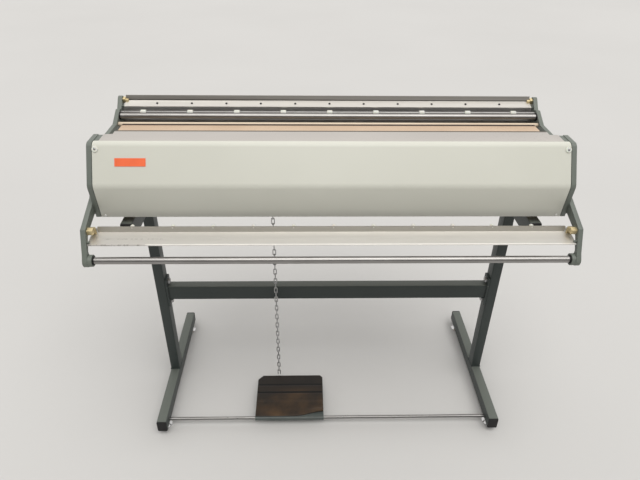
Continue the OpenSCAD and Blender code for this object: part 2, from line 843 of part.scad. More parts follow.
module chain_shackle() {
    inner = lever_t / 2 + shackle_room;
    outer = inner + shackle_t;
    bridge_z = pin_z - shackle_drop;
    ring_turn = link_count % 2 == 1 ? 90 : 0;
    color(steel)
        translate([chain_x, chain_y, 0]) {
            for (s = [-1, 1])
                mirror([s < 0 ? 1 : 0, 0, 0]) {
                    box([inner, outer], [-shackle_w / 2, shackle_w / 2], [bridge_z, pin_z]);
                    rod_x(shackle_w, inner, outer, [0, pin_z]);
                }
            box([-outer, outer], [-shackle_w / 2, shackle_w / 2], [bridge_z, bridge_z + bridge_t]);
            rod_x(shackle_pin_d, -outer - 1, outer + 1, [0, pin_z]);
            translate([0, 0, ring_z + ring_r])
                cylinder(d = shank_d, h = bridge_z - ring_z - ring_r + 1);
            translate([0, 0, ring_z])
                rotate([90, 0, ring_turn])
                    rotate_extrude()
                        translate([ring_r, 0])
                            circle(d = ring_wire);
        }
}

// Bridge: side plates, rails, bed

module rail_bolt_places() {
    for (y = [front_rail_y, rear_rail_y])
        for (s = [-1, 1])
            translate([plate_out, y, deck_z + rail_size / 2 + s * rail_bolt_pitch / 2])
                children();
}

module side_plate() {
    color(paint)
        difference() {
            union() {
                stretched(half_gap, plate_out)
                    polygon(plate_outline);
                rod_x(boss_d - 2, half_gap - boss_len, half_gap + 1, lower_bar_at);
            }
            for (at = [upper_bar, lower_bar_at])
                rod_x(bush_d + 2 * hole_fit, half_gap - boss_len - 1, plate_out + 1, at);
            for (at = [upper_pivot, lower_pivot])
                rod_x(pivot_d + 2 * run_fit, half_gap - 1, plate_out + 1, at);
            for (at = [upper_stop, lower_stop])
                rod_x(stop_d + 2 * hole_fit, half_gap - 1, plate_out + 1, at);
            rod_x(wheel_shaft_d + 2 * run_fit, half_gap - 1, plate_out + 1, wheel_at);
            rod_x(roller_journal_d + 2 * run_fit, half_gap - 1, plate_out + 1, roller_at);
            rod_x(rocker_bush_d + 2 * hole_fit, half_gap - 1, plate_out + 1, shaft_at);
            rail_bolt_places()
                translate([-plate_t - 1, 0, 0])
                    rotate([0, 90, 0])
                        cylinder(d = bolt_d + 2 * hole_fit, h = plate_t + 2);
        }
}

module side_plate_right() { side_plate(); }

module side_plate_left() {
    mirror([1, 0, 0])
        side_plate();
}

module cross_rail(y) {
    half = rail_size / 2;
    tube_half = half_gap - rail_end_t;
    color(paint)
        difference() {
            box([-half_gap, half_gap], [y - half, y + half], [deck_z, rail_top_z]);
            box([-tube_half, tube_half], [y - half + rail_wall, y + half - rail_wall],
                [deck_z + rail_wall, rail_top_z - rail_wall]);
            both_sides() {
                rail_bolt_places()
                    translate([-plate_t - rail_end_t - 1, 0, 0])
                        rotate([0, 90, 0])
                            cylinder(d = bolt_d + 2 * hole_fit, h = plate_t + rail_end_t + 2);
                translate([arm_x, y, deck_z - 1])
                    cylinder(d = bolt_d + 2 * hole_fit, h = rail_wall + 2);
            }
        }
}

module front_cross_rail() { cross_rail(front_rail_y); }

module rear_cross_rail() { cross_rail(rear_rail_y); }

module rail_bolts() {
    color(steel)
        both_sides()
            rail_bolt_places()
                rotate([0, 90, 0]) {
                    hex_head(bolt_af, bolt_head);
                    translate([0, 0, -plate_t - rail_end_t])
                        cylinder(d = bolt_d, h = plate_t + rail_end_t + 1);
                }
}

module deck_bolts() {
    color(steel)
        both_sides()
            for (y = [front_rail_y, rear_rail_y])
                translate([arm_x, y, deck_z - tube_wall]) {
                    translate([0, 0, -nut_t])
                        hex_head(bolt_af, nut_t);
                    cylinder(d = bolt_d, h = tube_wall + rail_wall);
                    translate([0, 0, tube_wall + rail_wall])
                        hex_head(bolt_af, bolt_head);
                }
}

module bed_plate() {
    color([0.78, 0.66, 0.50])
        stretched(-bed_half, bed_half)
            polygon(sheet(bed_line, 0, -bed_t));
}

module bed_supports() {
    front = front_rail_y - rail_size / 2;
    rear = rear_rail_y + rail_size / 2;
    shaft_room = shaft_d / 2 + 4;
    under = bed_t / cos(bed_slope);
    color(steel)
        for (x = [-web_x, 0, web_x])
            difference() {
                stretched(x - web_t / 2, x + web_t / 2)
                    polygon([[front, rail_top_z], [front, bed_at(front) - under], aside(bed_line, 1, -bed_t),
                        [rear, bed_z - bed_t], [rear, rail_top_z]]);
                rod_x(2 * shaft_room, x - web_t, x + web_t, shaft_at);
            }
}

module bed_roller() {
    half = half_gap - face_gap;
    journal_half = plate_out - 2;
    color(bright) {
        rod_x(roller_d, -half, half, roller_at);
        rod_x(roller_journal_d, -journal_half, journal_half, roller_at);
    }
}

// Clamp under the cover, all on the rocker shaft

module closed_clamp() {
    translate([0, shaft_y, shaft_z])
        rotate([-2 * rocker_half, 0, 0])
            translate([0, -shaft_y, -shaft_z])
                children();
}

module rocker_shaft() {
    reach = plate_out - 1;
    color(steel)
        rod_x(shaft_d, -reach, reach, shaft_at);
}

module shaft_bushes() {
    color(brass)
        both_sides()
            difference() {
                union() {
                    rod_x(rocker_bush_d, half_gap - 1, plate_out, shaft_at);
                    rod_x(rocker_flange_d, half_gap - bush_flange_t, half_gap, shaft_at);
                }
                rod_x(shaft_d + 2 * run_fit, half_gap - 2 * bush_flange_t, plate_out + 1, shaft_at);
            }
}

module chain_lever() {
    hub_half = hub_d / 2;
    waist_at = lever_len - 1.2 * lever_tip;
    color(steel)
        translate([chain_x, shaft_y, shaft_z])
            rotate([-rocker_half, 0, 0])
                difference() {
                    union() {
                        rod_x(hub_d, -hub_w / 2, hub_w / 2, [0, 0]);
                        stretched(-lever_t / 2, lever_t / 2)
                            polygon([[0, hub_half - 2], [0, 2 - hub_half], [-waist_at, -lever_waist],
                                [-lever_len, -lever_tip], [-lever_len, lever_tip]]);
                        rod_x(2 * lever_tip, -lever_t / 2, lever_t / 2, [-lever_len, 0]);
                    }
                    rod_x(shaft_d + 2 * hole_fit, -hub_w, hub_w, [0, 0]);
                    rod_x(2 * lever_hole_r, -hub_w, hub_w, [-lever_len, 0]);
                }
}

module clamp_arm() {
    along = unit(beam_at - shaft_at);
    across = clamp_arm_half * [-along[1], along[0]];
    end_half = beam_size / 2 + 4;
    end_along = end_half * along;
    end_across = end_half * [-along[1], along[0]];
    end_square = [beam_at - end_along + end_across, beam_at + end_along + end_across,
        beam_at + end_along - end_across, beam_at - end_along - end_across];
    color(paint)
        closed_clamp()
            difference() {
                union() {
                    stretched(clamp_arm_x, clamp_arm_x + clamp_arm_t)
                        polygon(concat([shaft_at - across, shaft_at + across, beam_at - end_along + across],
                            end_square, [beam_at - end_along - across]));
                    rod_x(hub_d, clamp_arm_x, clamp_arm_x + clamp_arm_t, shaft_at);
                }
                rod_x(shaft_d + 2 * hole_fit, half_gap - 2 * bed_room, half_gap, shaft_at);
            }
}

module clamp_arm_right() { clamp_arm(); }

module clamp_arm_left() {
    mirror([1, 0, 0])
        clamp_arm();
}

module clamp_beam() {
    half = beam_size / 2;
    hollow = half - beam_wall;
    color(paint)
        closed_clamp()
            translate([0, beam_at[0], beam_at[1]])
                rotate([bed_slope, 0, 0])
                    difference() {
                        box([-clamp_arm_x, clamp_arm_x], [-half, half], [-half, half]);
                        box([-clamp_arm_x - 1, clamp_arm_x + 1], [-hollow, hollow], [-hollow, hollow]);
                    }
}

module clamp_strip() {
    strip_half = bed_half - 5;
    color(black)
        closed_clamp()
            translate([0, clamp_foot[0], clamp_foot[1]])
                rotate([bed_slope, 0, 0])
                    box([-strip_half, strip_half], [-strip_w / 2, strip_w / 2],
                        [sheet_gap, sheet_gap + strip_t]);
}

module spring_arms() {
    pad_d = spring_d + 2 * spring_wire;
    bar_h = 2 * pad_t;
    color(steel)
        both_sides()
            difference() {
                union() {
                    rod_x(hub_d, spring_x - hub_w / 2, spring_x + hub_w / 2, shaft_at);
                    stretched(spring_x - spring_arm_w / 2, spring_x + spring_arm_w / 2)
                        polygon([[shaft_y, shaft_z - bar_h], [front_rail_y + pad_d / 2, pad_z + 1],
                            [front_rail_y, pad_z + 1], [front_rail_y, pad_z + bar_h],
                            [shaft_y, shaft_z + bar_h]]);
                    translate([spring_x, front_rail_y, pad_z])
                        cylinder(d = pad_d, h = pad_t);
                }
                rod_x(shaft_d + 2 * hole_fit, spring_x - hub_w, spring_x + hub_w, shaft_at);
            }
}

module spring_seats() {
    seat_d = spring_d + 4 * spring_wire;
    color(steel)
        both_sides()
            translate([spring_x, front_rail_y, rail_top_z]) {
                cylinder(d = seat_d, h = seat_t);
                cylinder(d = stud_d, h = seat_t + stud_h);
            }
}

// Return spring: a wire with one close turn at each end and even turns between them
rings_per_turn = 8;
wire_sides = 6;
close_rise = spring_wire + 0.7;
spring_rings = spring_turns * rings_per_turn;
spring_span = spring_len - spring_wire;
function spring_rise(t) =
    t <= 1 ? close_rise * t
    : t >= spring_turns - 1 ? spring_span - close_rise * (spring_turns - t)
    : close_rise + (spring_span - 2 * close_rise) * (t - 1) / (spring_turns - 2);
function spring_point(i) =
    let (t = i / rings_per_turn)
    [cos(360 * t) * spring_d / 2, sin(360 * t) * spring_d / 2, spring_wire / 2 + spring_rise(t)];
function spring_ring(i) =
    let (t = i / rings_per_turn, out = [cos(360 * t), sin(360 * t), 0])
    [for (k = [0:wire_sides - 1]) let (a = 360 * k / wire_sides)
        spring_point(i) + spring_wire / 2 * (cos(a) * out + [0, 0, sin(a)])];
spring_gaps = [for (i = [0:spring_rings]) for (j = [i + rings_per_turn / 2:1:spring_rings])
    norm(spring_point(j) - spring_point(i)) - spring_wire];
echo(least_gap_between_spring_turns = min(spring_gaps));

module spring_wire_form() {
    last = spring_rings * wire_sides;
    points = [for (i = [0:spring_rings]) for (p = spring_ring(i)) p];
    sides = [for (i = [0:spring_rings - 1]) for (k = [0:wire_sides - 1])
        let (a = i * wire_sides + k, b = i * wire_sides + (k + 1) % wire_sides)
        each [[a, a + wire_sides, b], [b, a + wire_sides, b + wire_sides]]];
    start = [for (k = [1:wire_sides - 2]) [0, k, k + 1]];
    end = [for (k = [1:wire_sides - 2]) [last, last + k + 1, last + k]];
    polyhedron(points = points, faces = concat(sides, start, end));
}

module return_springs() {
    color(steel)
        both_sides()
            translate([spring_x, front_rail_y, spring_base_z])
                spring_wire_form();
}

// Cover

module cover_screw_places() {
    top_at = cover_top - upper_screw_drop * unit(cover_top - cover_nose);
    low_at = cover_foot + lower_screw_rise * unit(cover_nose - cover_foot);
    translate([cover_half - cover_screw_in, 0, 0])
        facing(top_at, normal(cover_nose, cover_top))
            children(0);
    translate([cover_half - lower_screw_in, 0, 0])
        facing(low_at, normal(cover_foot, cover_nose))
            children(1);
}

module cover_screw_holes() {
    depth = cover_t + ledge_t + 2;
    both_sides()
        cover_screw_places() {
            translate([0, 0, -depth])
                cylinder(d = screw_d + 2 * hole_fit, h = depth + 1);
            translate([0, 0, -depth])
                cylinder(d = screw_d + 2 * hole_fit, h = depth + 1);
        }
}

module cover_shell() {
    color(cover_paint)
        difference() {
            stretched(cover_gap - cover_half, cover_half - cover_gap)
                polygon(sheet(cover_line, 0, -cover_t));
            cover_screw_holes();
        }
}

module cover_top() {
    notch_x = cover_half - notch_w;
    color(bright)
        difference() {
            stretched(panel_in - cover_half, cover_half - panel_in)
                polygon(sheet(panel_line, 0, -cover_t));
            both_sides()
                box([notch_x, cover_half + 1], [notch_y, cover_rear_y + 1],
                    [cover_top[1] - 2 * lip_h, cover_top[1] + 1]);
        }
}

module cover_cheek() {
    plate_back = [for (i = [len(cheek_back) - 1:-1:0]) aside(cheek_back, i, -cheek_d)];
    color(paint)
        difference() {
            union() {
                stretched(cover_half, half_gap)
                    polygon(concat(cheek_line, plate_back));
                stretched(cover_half - ledge_w, cover_half)
                    polygon(sheet(cheek_line, -cover_t, -cover_t - ledge_t));
            }
            cover_screw_holes();
        }
}

module cover_cheek_right() { cover_cheek(); }

module cover_cheek_left() {
    mirror([1, 0, 0])
        cover_cheek();
}

module cover_washers() {
    color(white)
        both_sides()
            cover_screw_places() {
                difference() {
                    cylinder(d = washer_d, h = washer_t);
                    translate([0, 0, -1])
                        cylinder(d = screw_d + 2 * hole_fit, h = washer_t + 2);
                }
                union() {}
            }
}

module cover_screw(lift) {
    depth = cover_t + ledge_t + 1;
    head_h = screw_head_d / 4;
    translate([0, 0, lift])
        cylinder(d = screw_head_d, h = head_h);
    translate([0, 0, -depth])
        cylinder(d = screw_d, h = depth + lift + head_h / 2);
}

module cover_screws() {
    color(steel)
        both_sides()
            cover_screw_places() {
                cover_screw(washer_t);
                cover_screw(0);
            }
}

module name_plate() {
    at = cover_nose + name_rise * unit(cover_top - cover_nose);
    color([0.80, 0.27, 0.12])
        facing(at, normal(cover_nose, cover_top))
            translate([name_x - name_w / 2, -name_h / 2, 0])
                cube([name_w, name_h, name_t]);
}

// Round bars of both stations

module round_bar(at, flange_x) {
    body_half = flange_x - face_gap;
    journal_half = plate_out - 2;
    color(chrome) {
        rod_x(bar_d, -body_half, body_half, at);
        rod_x(journal_d, -journal_half, journal_half, at);
    }
}

module upper_round_bar() { round_bar(upper_bar, upper_flange_x); }

module lower_round_bar() { round_bar(lower_bar_at, lower_flange_x); }

module bar_bush(at, flange_x) {
    difference() {
        union() {
            rod_x(bush_d, flange_x + 1, plate_out, at);
            rod_x(bush_flange_d, flange_x, flange_x + bush_flange_t, at);
        }
        rod_x(journal_d + 2 * run_fit, flange_x - 1, plate_out + 1, at);
    }
}

module bar_bushes() {
    color(black)
        both_sides() {
            bar_bush(upper_bar, upper_flange_x);
            bar_bush(lower_bar_at, lower_flange_x);
        }
}

module stop_pins() {
    upper_in = upper_half - stop_reach;
    lower_in = lower_half - stop_reach;
    color(steel)
        both_sides() {
            rod_x(stop_d, upper_in, plate_out, upper_stop);
            rod_x(stop_d, lower_in, plate_out, lower_stop);
        }
}

// Upper station

module upper_screw_places() {
    middle = upper_front + upper_flap_d / 2 * slope_dir(upper_slope);
    for (i = [-fastener_steps:fastener_steps])
        translate([i * fastener_pitch, 0, 0])
            facing(middle, slope_up(upper_slope))
                children();
}

module upper_flap() {
    color(bright)
        difference() {
            stretched(-upper_half, upper_half)
                polygon(sheet(upper_line, 0, -flap_t));
            upper_screw_places()
                translate([0, 0, -2 * flap_t])
                    cylinder(d = fastener_d + 2 * hole_fit, h = 3 * flap_t);
        }
}

module upper_flap_screws() {
    color(black)
        upper_screw_places() {
            cylinder(d = flap_screw_d, h = flap_screw_h);
            translate([0, 0, -flap_t - 1])
                cylinder(d = fastener_d, h = flap_t + 1 + flap_screw_h / 2);
        }
}

// A block on its pin, with the foot that joins it to the flap
module pivot_block(pivot, slope, inner) {
    outer = half_gap - face_gap;
    color(brass) {
        translate([0, pivot[0], pivot[1]])
            rotate([slope, 0, 0]) {
                box([inner, outer], [-block_half, block_half], [-block_top, block_top]);
                children();
            }
        rod_x(pivot_d, inner + 1, plate_out - 2, pivot);
    }
}

module upper_pivot_blocks() {
    inner = upper_half + face_gap;
    crease = (upper_corner - upper_pivot) * slope_dir(upper_slope);
    low = flap_t - upper_drop;
    both_sides()
        pivot_block(upper_pivot, upper_slope, inner)
            box([upper_half - upper_foot, inner + 1], [-block_half, crease], [low, low + block_top]);
}

module rear_guide() {
    color(paint)
        stretched(-half_gap, half_gap)
            polygon(sheet(guide_line, 0, -guide_t));
}

module pinch_wheels() {
    edge = wheel_d / 10;
    wheel_r = wheel_d / 2;
    bore_r = wheel_shaft_d / 2 + hole_fit;
    half = wheel_w / 2;
    color(white)
        for (i = [-wheel_steps:wheel_steps])
            translate([i * wheel_pitch, wheel_at[0], wheel_at[1]])
                rotate([0, 90, 0])
                    rotate_extrude()
                        polygon([[bore_r, -half], [wheel_r - edge, -half], [wheel_r, edge - half],
                            [wheel_r, half - edge], [wheel_r - edge, half], [bore_r, half]]);
}

module pinch_wheel_shaft() {
    reach = plate_out - 2;
    color(steel)
        rod_x(wheel_shaft_d, -reach, reach, wheel_at);
}

// Lower station

module lower_stud_places() {
    below_top = fastener_d / 2 + 1.2;
    flange_dir = slope_up(-lower_lean);
    back = slope_dir(-lower_lean);
    for (i = [-fastener_steps:fastener_steps])
        translate([i * fastener_pitch, 0, 0])
            facing(lower_line[2] - below_top * flange_dir + flap_t * back, back)
                children();
}

module lower_flap() {
    plate_line = [lower_line[0], lower_line[1]];
    tongue_line = [lower_front, lower_front + (lower_flap_d + flange_h) * slope_dir(lower_slope)];
    color(bright)
        difference() {
            union() {
                stretched(-lower_half, lower_half)
                    polygon(sheet(plate_line, 0, -flap_t));
                stretched(-lower_flange_half, lower_flange_half)
                    polygon(sheet(lower_line, 0, -flap_t));
                both_sides()
                    stretched(lower_flange_half + face_gap, lower_half)
                        polygon(sheet(tongue_line, 0, -flap_t));
            }
            lower_stud_places()
                translate([0, 0, -2 * flap_t])
                    cylinder(d = fastener_d + 2 * hole_fit, h = 3 * flap_t);
        }
}

module lower_flap_studs() {
    color(white)
        lower_stud_places() {
            cylinder(d = flange_stud_d, h = flange_stud_h);
            translate([0, 0, -flap_t])
                cylinder(d = fastener_d, h = flap_t + flange_stud_h / 2);
        }
}

module lower_pivot_blocks() {
    inner = half_gap - lower_block_w;
    foot_back = lower_flap_d - lower_overhang - 1;
    both_sides()
        pivot_block(lower_pivot, lower_slope, inner)
            union() {
                box([inner + 2, lower_half], [block_half - 1, foot_back], [-block_top, -block_top / 2]);
                box([inner + 2, lower_half], [foot_back - block_half, foot_back],
                    [-lower_pivot_rise, 1 - block_top]);
            }
}

foot_left();
foot_right();
leg_column_left();
leg_column_right();
top_arm_left();
top_arm_right();
tube_end_caps();
levelling_glides();
stretcher_beam();
stretcher_bolts();
treadle_rod();
pedal_plate();
pedal_mat();
pedal_eye();
pedal_chain();
chain_shackle();
side_plate_left();
side_plate_right();
front_cross_rail();
rear_cross_rail();
rail_bolts();
deck_bolts();
bed_plate();
bed_supports();
bed_roller();
rocker_shaft();
shaft_bushes();
chain_lever();
clamp_arm_left();
clamp_arm_right();
clamp_beam();
clamp_strip();
spring_arms();
spring_seats();
return_springs();
cover_shell();
cover_top();
cover_cheek_left();
cover_cheek_right();
cover_washers();
cover_screws();
name_plate();
upper_round_bar();
lower_round_bar();
bar_bushes();
stop_pins();
upper_flap();
upper_flap_screws();
upper_pivot_blocks();
rear_guide();
pinch_wheels();
pinch_wheel_shaft();
lower_flap();
lower_flap_studs();
lower_pivot_blocks();
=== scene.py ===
import math

import bmesh
import bpy
from mathutils import Matrix, Vector


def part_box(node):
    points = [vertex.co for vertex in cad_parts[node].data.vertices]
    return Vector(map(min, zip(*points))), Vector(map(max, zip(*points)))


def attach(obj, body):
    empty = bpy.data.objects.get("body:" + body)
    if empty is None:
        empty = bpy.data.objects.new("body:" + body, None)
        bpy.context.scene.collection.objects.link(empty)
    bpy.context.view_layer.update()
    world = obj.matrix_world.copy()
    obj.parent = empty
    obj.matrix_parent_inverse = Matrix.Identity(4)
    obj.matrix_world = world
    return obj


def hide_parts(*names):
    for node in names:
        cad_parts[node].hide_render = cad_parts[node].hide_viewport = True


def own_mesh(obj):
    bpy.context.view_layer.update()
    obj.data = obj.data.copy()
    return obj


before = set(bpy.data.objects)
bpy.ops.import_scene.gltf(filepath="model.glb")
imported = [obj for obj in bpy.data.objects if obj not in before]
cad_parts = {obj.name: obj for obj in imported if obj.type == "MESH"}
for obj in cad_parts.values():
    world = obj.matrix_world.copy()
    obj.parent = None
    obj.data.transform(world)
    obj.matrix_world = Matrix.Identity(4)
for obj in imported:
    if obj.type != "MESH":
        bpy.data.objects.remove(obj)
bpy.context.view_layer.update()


# Legs: welded rectangular steel tube with rolled corners, a foot, a column and a top arm each.
# They are sprayed in one satin grey-green coat with a fine orange peel; their top faces are painted paler
# as painted light from above.

def new_tree(kind, name, inputs, outputs):
    """An empty node tree with named sockets, and its input and output nodes."""
    tree = bpy.data.node_groups.new(name, kind)
    for way, sockets in (("INPUT", inputs), ("OUTPUT", outputs)):
        for label, socket in sockets.items():
            tree.interface.new_socket(label, in_out=way, socket_type="NodeSocket" + socket)
    return tree, tree.nodes.new("NodeGroupInput"), tree.nodes.new("NodeGroupOutput")


def feed(tree, socket, value):
    """Links an output to a socket, or sets the socket to a plain value."""
    if isinstance(value, bpy.types.NodeSocket):
        tree.links.new(value, socket)
    else:
        socket.default_value = value


def add(tree, kind, *settings, **sockets):
    """A new node, or a group placed as one: first its settings, then its named inputs."""
    if isinstance(kind, str):
        node = tree.nodes.new(kind)
    else:
        node = tree.nodes.new("ShaderNodeGroup")
        node.node_tree = kind
    for setting, value in settings:
        setattr(node, setting, value)
    for label, value in sockets.items():
        feed(tree, node.inputs[label.replace("_", " ")], value)
    return node


def reckon(tree, operation, *values, clamp=False):
    """The outcome of one arithmetic node, held between 0 and 1 if it is clamped."""
    node = add(tree, "ShaderNodeMath", ("operation", operation), ("use_clamp", clamp))
    for socket, value in zip(node.inputs, values):
        feed(tree, socket, value)
    return node.outputs["Value"]


def blend(tree, share, under, over):
    """A colour between two others."""
    mix = add(tree, "ShaderNodeMix", ("data_type", "RGBA"))
    for index, value in ((0, share), (6, under), (7, over)):
        feed(tree, mix.inputs[index], value)
    return mix.outputs[2]


mottle, entry, result = new_tree(
    "ShaderNodeTree",
    "mottle",
    {"Vector": "Vector", "Cloud scale": "Float", "Grain scale": "Float"},
    {"Cloud": "Float", "Grain": "Float"},
)
for label, detail in (("Cloud", 3.0), ("Grain", 5.0)):
    scale = entry.outputs[label + " scale"]
    noise = add(mottle, "ShaderNodeTexNoise", Vector=entry.outputs["Vector"], Scale=scale, Detail=detail)
    spread = add(mottle, "ShaderNodeMapRange", Value=noise.outputs["Fac"], From_Min=0.3, From_Max=0.7)
    feed(mottle, result.inputs[label], spread.outputs["Result"])

band, entry, result = new_tree(
    "ShaderNodeTree",
    "band",
    {"Place": "Float", "Start": "Float", "Full": "Float", "Most": "Float"},
    {"Mask": "Float"},
)
slope = add(
    band,
    "ShaderNodeMapRange",
    ("interpolation_type", "SMOOTHSTEP"),
    Value=entry.outputs["Place"],
    From_Min=entry.outputs["Start"],
    From_Max=entry.outputs["Full"],
    To_Max=entry.outputs["Most"],
)
feed(band, result.inputs["Mask"], slope.outputs["Result"])


def finish(
    name, light, dark, rough, metallic=0.0, cloud=8.0, grain=600.0, bump=0.0, stretch=(1, 1, 1), **sockets
):
    """A material whose colour drifts between two tints and whose gloss and bump follow a fine grain."""
    material = bpy.data.materials.new(name)
    material.use_nodes = True
    tree = material.node_tree
    shader = tree.nodes["Principled BSDF"]
    place = add(tree, "ShaderNodeTexCoord")
    mapping = add(tree, "ShaderNodeMapping", Vector=place.outputs["Object"], Scale=stretch)
    life = add(tree, mottle, Vector=mapping.outputs["Vector"], Cloud_scale=cloud, Grain_scale=grain)
    life.name = "mottle"
    feed(tree, shader.inputs["Base Color"], blend(tree, life.outputs["Cloud"], (*light, 1), (*dark, 1)))
    gloss = add(tree, "ShaderNodeMapRange", Value=life.outputs["Grain"], To_Min=rough[0], To_Max=rough[1])
    feed(tree, shader.inputs["Roughness"], gloss.outputs["Result"])
    if bump:
        relief = add(tree, "ShaderNodeBump", Distance=bump, Height=life.outputs["Grain"])
        feed(tree, shader.inputs["Normal"], relief.outputs["Normal"])
    feed(tree, shader.inputs["Metallic"], metallic)
    for label, value in sockets.items():
        feed(tree, shader.inputs[label.replace("_", " ")], value)
    return material


def overlay(material, colour, mask):
    """Lays a colour over a material's tint wherever the mask socket is above zero."""
    tree = material.node_tree
    coloured = tree.nodes["Principled BSDF"].inputs["Base Color"]
    feed(tree, coloured, blend(tree, mask, coloured.links[0].from_socket, (*colour, 1)))


def spot_of(material):
    """The place on the object that a material is looked up at."""
    return material.node_tree.nodes["Texture Coordinate"].outputs["Object"]


def beyond(material, axis, start, full, most=1.0):
    """A mask that rises from 0 to its most between two places along an axis of the object."""
    tree = material.node_tree
    parts = add(tree, "ShaderNodeSeparateXYZ", Vector=spot_of(material))
    return add(tree, band, Place=parts.outputs[axis], Start=start, Full=full, Most=most).outputs["Mask"]


def smooth(mesh, sharp):
    """Smooth shading, but for edges above an angle in degrees."""
    mesh.shade_smooth()
    mesh.set_sharp_from_angle(angle=math.radians(sharp))


def made(name, bm, material, sharp=35):
    """A finished object at the origin from a bmesh, with outward faces and sharp edges kept."""
    mesh = bpy.data.meshes.new(name)
    bmesh.ops.recalc_face_normals(bm, faces=bm.faces)
    bm.to_mesh(mesh)
    bm.free()
    smooth(mesh, sharp)
    mesh.materials.append(material)
    piece = bpy.data.objects.new(name, mesh)
    bpy.context.scene.collection.objects.link(piece)
    return piece


def settle(piece, body, slot, *nodes):
    """Puts a piece on its body, in the place of the solids that it stands for; its slot is not used."""
    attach(piece, body)
    if nodes:
        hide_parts(*nodes)
    return piece


def skin(bm, rings):
    """Faces between each ring of points and the next; a ring may also be a single point."""
    for a, b in zip(rings, rings[1:]):
        count = max(len(a), len(b))
        for k in range(count):
            n = (k + 1) % count
            corners = [a[k % len(a)], a[n % len(a)], b[n % len(b)], b[k % len(b)]]
            bm.faces.new(list(dict.fromkeys(corners)))


def rounded_bar(bm, low, high, along, corner, steps=4, chamfer=0.0006):
    """Adds a closed bar with rounded long edges and a small chamfer at both ends."""
    i, j = [k for k in range(3) if k != along]
    near, far = low[along], high[along]
    rings = []
    for end, inset in ((near, chamfer), (near + chamfer, 0), (far - chamfer, 0), (far, chamfer)):
        ring = []
        for start, right, upper in ((0, 1, 1), (90, 0, 1), (180, 0, 0), (270, 1, 0)):
            centre_i = high[i] - corner if right else low[i] + corner
            centre_j = high[j] - corner if upper else low[j] + corner
            for step in range(steps + 1):
                angle = math.radians(start + 90 * step / steps)
                point = [end, end, end]
                point[i] = centre_i + (corner - inset) * math.cos(angle)
                point[j] = centre_j + (corner - inset) * math.sin(angle)
                ring.append(bm.verts.new(point))
        rings.append(ring)
    skin(bm, rings)
    bm.faces.new(rings[0])
    bm.faces.new(rings[-1])


def tube_paint(name, *tops):
    """The coat of the stand, with painted light on the upward faces at the given heights."""
    paint = finish(
        name, (0.042, 0.052, 0.049), (0.035, 0.044, 0.042), (0.36, 0.5),
        cloud=5, grain=900, bump=0.00008, Specular_IOR_Level=0.35,
    )
    # Painted light: a paler band on the top faces, standing in for the light that falls on them from above.
    top_light = (0.115, 0.128, 0.113)
    for top in tops:
        above = beyond(paint, "Z", top - 0.002, top - 0.0002)
        below = beyond(paint, "Z", top + 0.0006, top + 0.0002)
        overlay(paint, top_light, reckon(paint.node_tree, "MULTIPLY", above, below))
    return paint


tube_corner = 0.003
frame_paint = tube_paint("frame_paint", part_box("foot_left")[1].z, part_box("top_arm_left")[1].z)
for side in ("left", "right"):
    for part, along in (("foot", 1), ("leg_column", 2), ("top_arm", 1)):
        tube = bmesh.new()
        rounded_bar(tube, *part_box(f"{part}_{side}"), along, tube_corner)
        settle(made(f"{part}_{side}_tube", tube, frame_paint), "stand", "frame_paint", f"{part}_{side}")


# Stretcher: the same tube, laid on edge between the columns, with a plate welded on each end.
# The plates lie on the columns and take one bolt above and one below the tube.

beam_low, beam_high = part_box("stretcher_beam")
end_plate, plate_corner = 0.006, 0.004
tube_half_y, tube_low_z, tube_high_z = 0.015, 0.356, 0.406
tube_ends = (beam_low.x + end_plate, beam_high.x - end_plate)
beam = bmesh.new()
rounded_bar(
    beam,
    (tube_ends[0], -tube_half_y, tube_low_z),
    (tube_ends[1], tube_half_y, tube_high_z),
    0,
    tube_corner,
)
for low_x in (beam_low.x, tube_ends[1]):
    plate_low = (low_x, beam_low.y, beam_low.z)
    plate_high = (low_x + end_plate, beam_high.y, beam_high.z)
    rounded_bar(beam, plate_low, plate_high, 0, plate_corner)
stretcher_paint = tube_paint("stretcher_paint", tube_high_z)
settle(made("stretcher_tube", beam, stretcher_paint), "stand", "frame_paint", "stretcher_beam")


# Weld seams: a run of small beads round each tube joint, laid by hand before painting.
# They sit in the corner between foot and column, column and arm, stretcher and end plate.

def shape_tree(name, inputs):
    """An empty geometry tree whose inputs start with a mesh and end with a material."""
    inputs = {"Geometry": "Geometry", **inputs, "Material": "Material"}
    return new_tree("GeometryNodeTree", name, inputs, {"Geometry": "Geometry"})


def close_tree(tree, geometry, entry, result):
    """Ends a tree in real mesh with its material set."""
    real = add(tree, "GeometryNodeRealizeInstances", Geometry=geometry)
    paint = add(
        tree,
        "GeometryNodeSetMaterial",
        Geometry=real.outputs["Geometry"],
        Material=entry.outputs["Material"],
    )
    feed(tree, result.inputs["Geometry"], paint.outputs["Geometry"])


def plain(piece, sharp):
    """Keeps what a piece's modifiers make as its plain mesh."""
    bpy.context.view_layer.update()
    evaluated = piece.evaluated_get(bpy.context.evaluated_depsgraph_get())
    mesh = bpy.data.meshes.new_from_object(evaluated)
    piece.modifiers.clear()
    piece.data = mesh
    mesh.name = piece.name
    smooth(mesh, sharp)
    return piece


def grown(name, tree, values, base=None, sharp=35):
    """Runs a tree on a base mesh and keeps the outcome as a plain mesh object."""
    piece = bpy.data.objects.new(name, base or bpy.data.meshes.new(name + "_base"))
    bpy.context.scene.collection.objects.link(piece)
    modifier = piece.modifiers.new("grow", "NODES")
    modifier.node_group = tree
    for socket in tree.interface.items_tree:
        if socket.in_out == "INPUT" and socket.name in values:
            modifier[socket.identifier] = values[socket.name]
    return plain(piece, sharp)


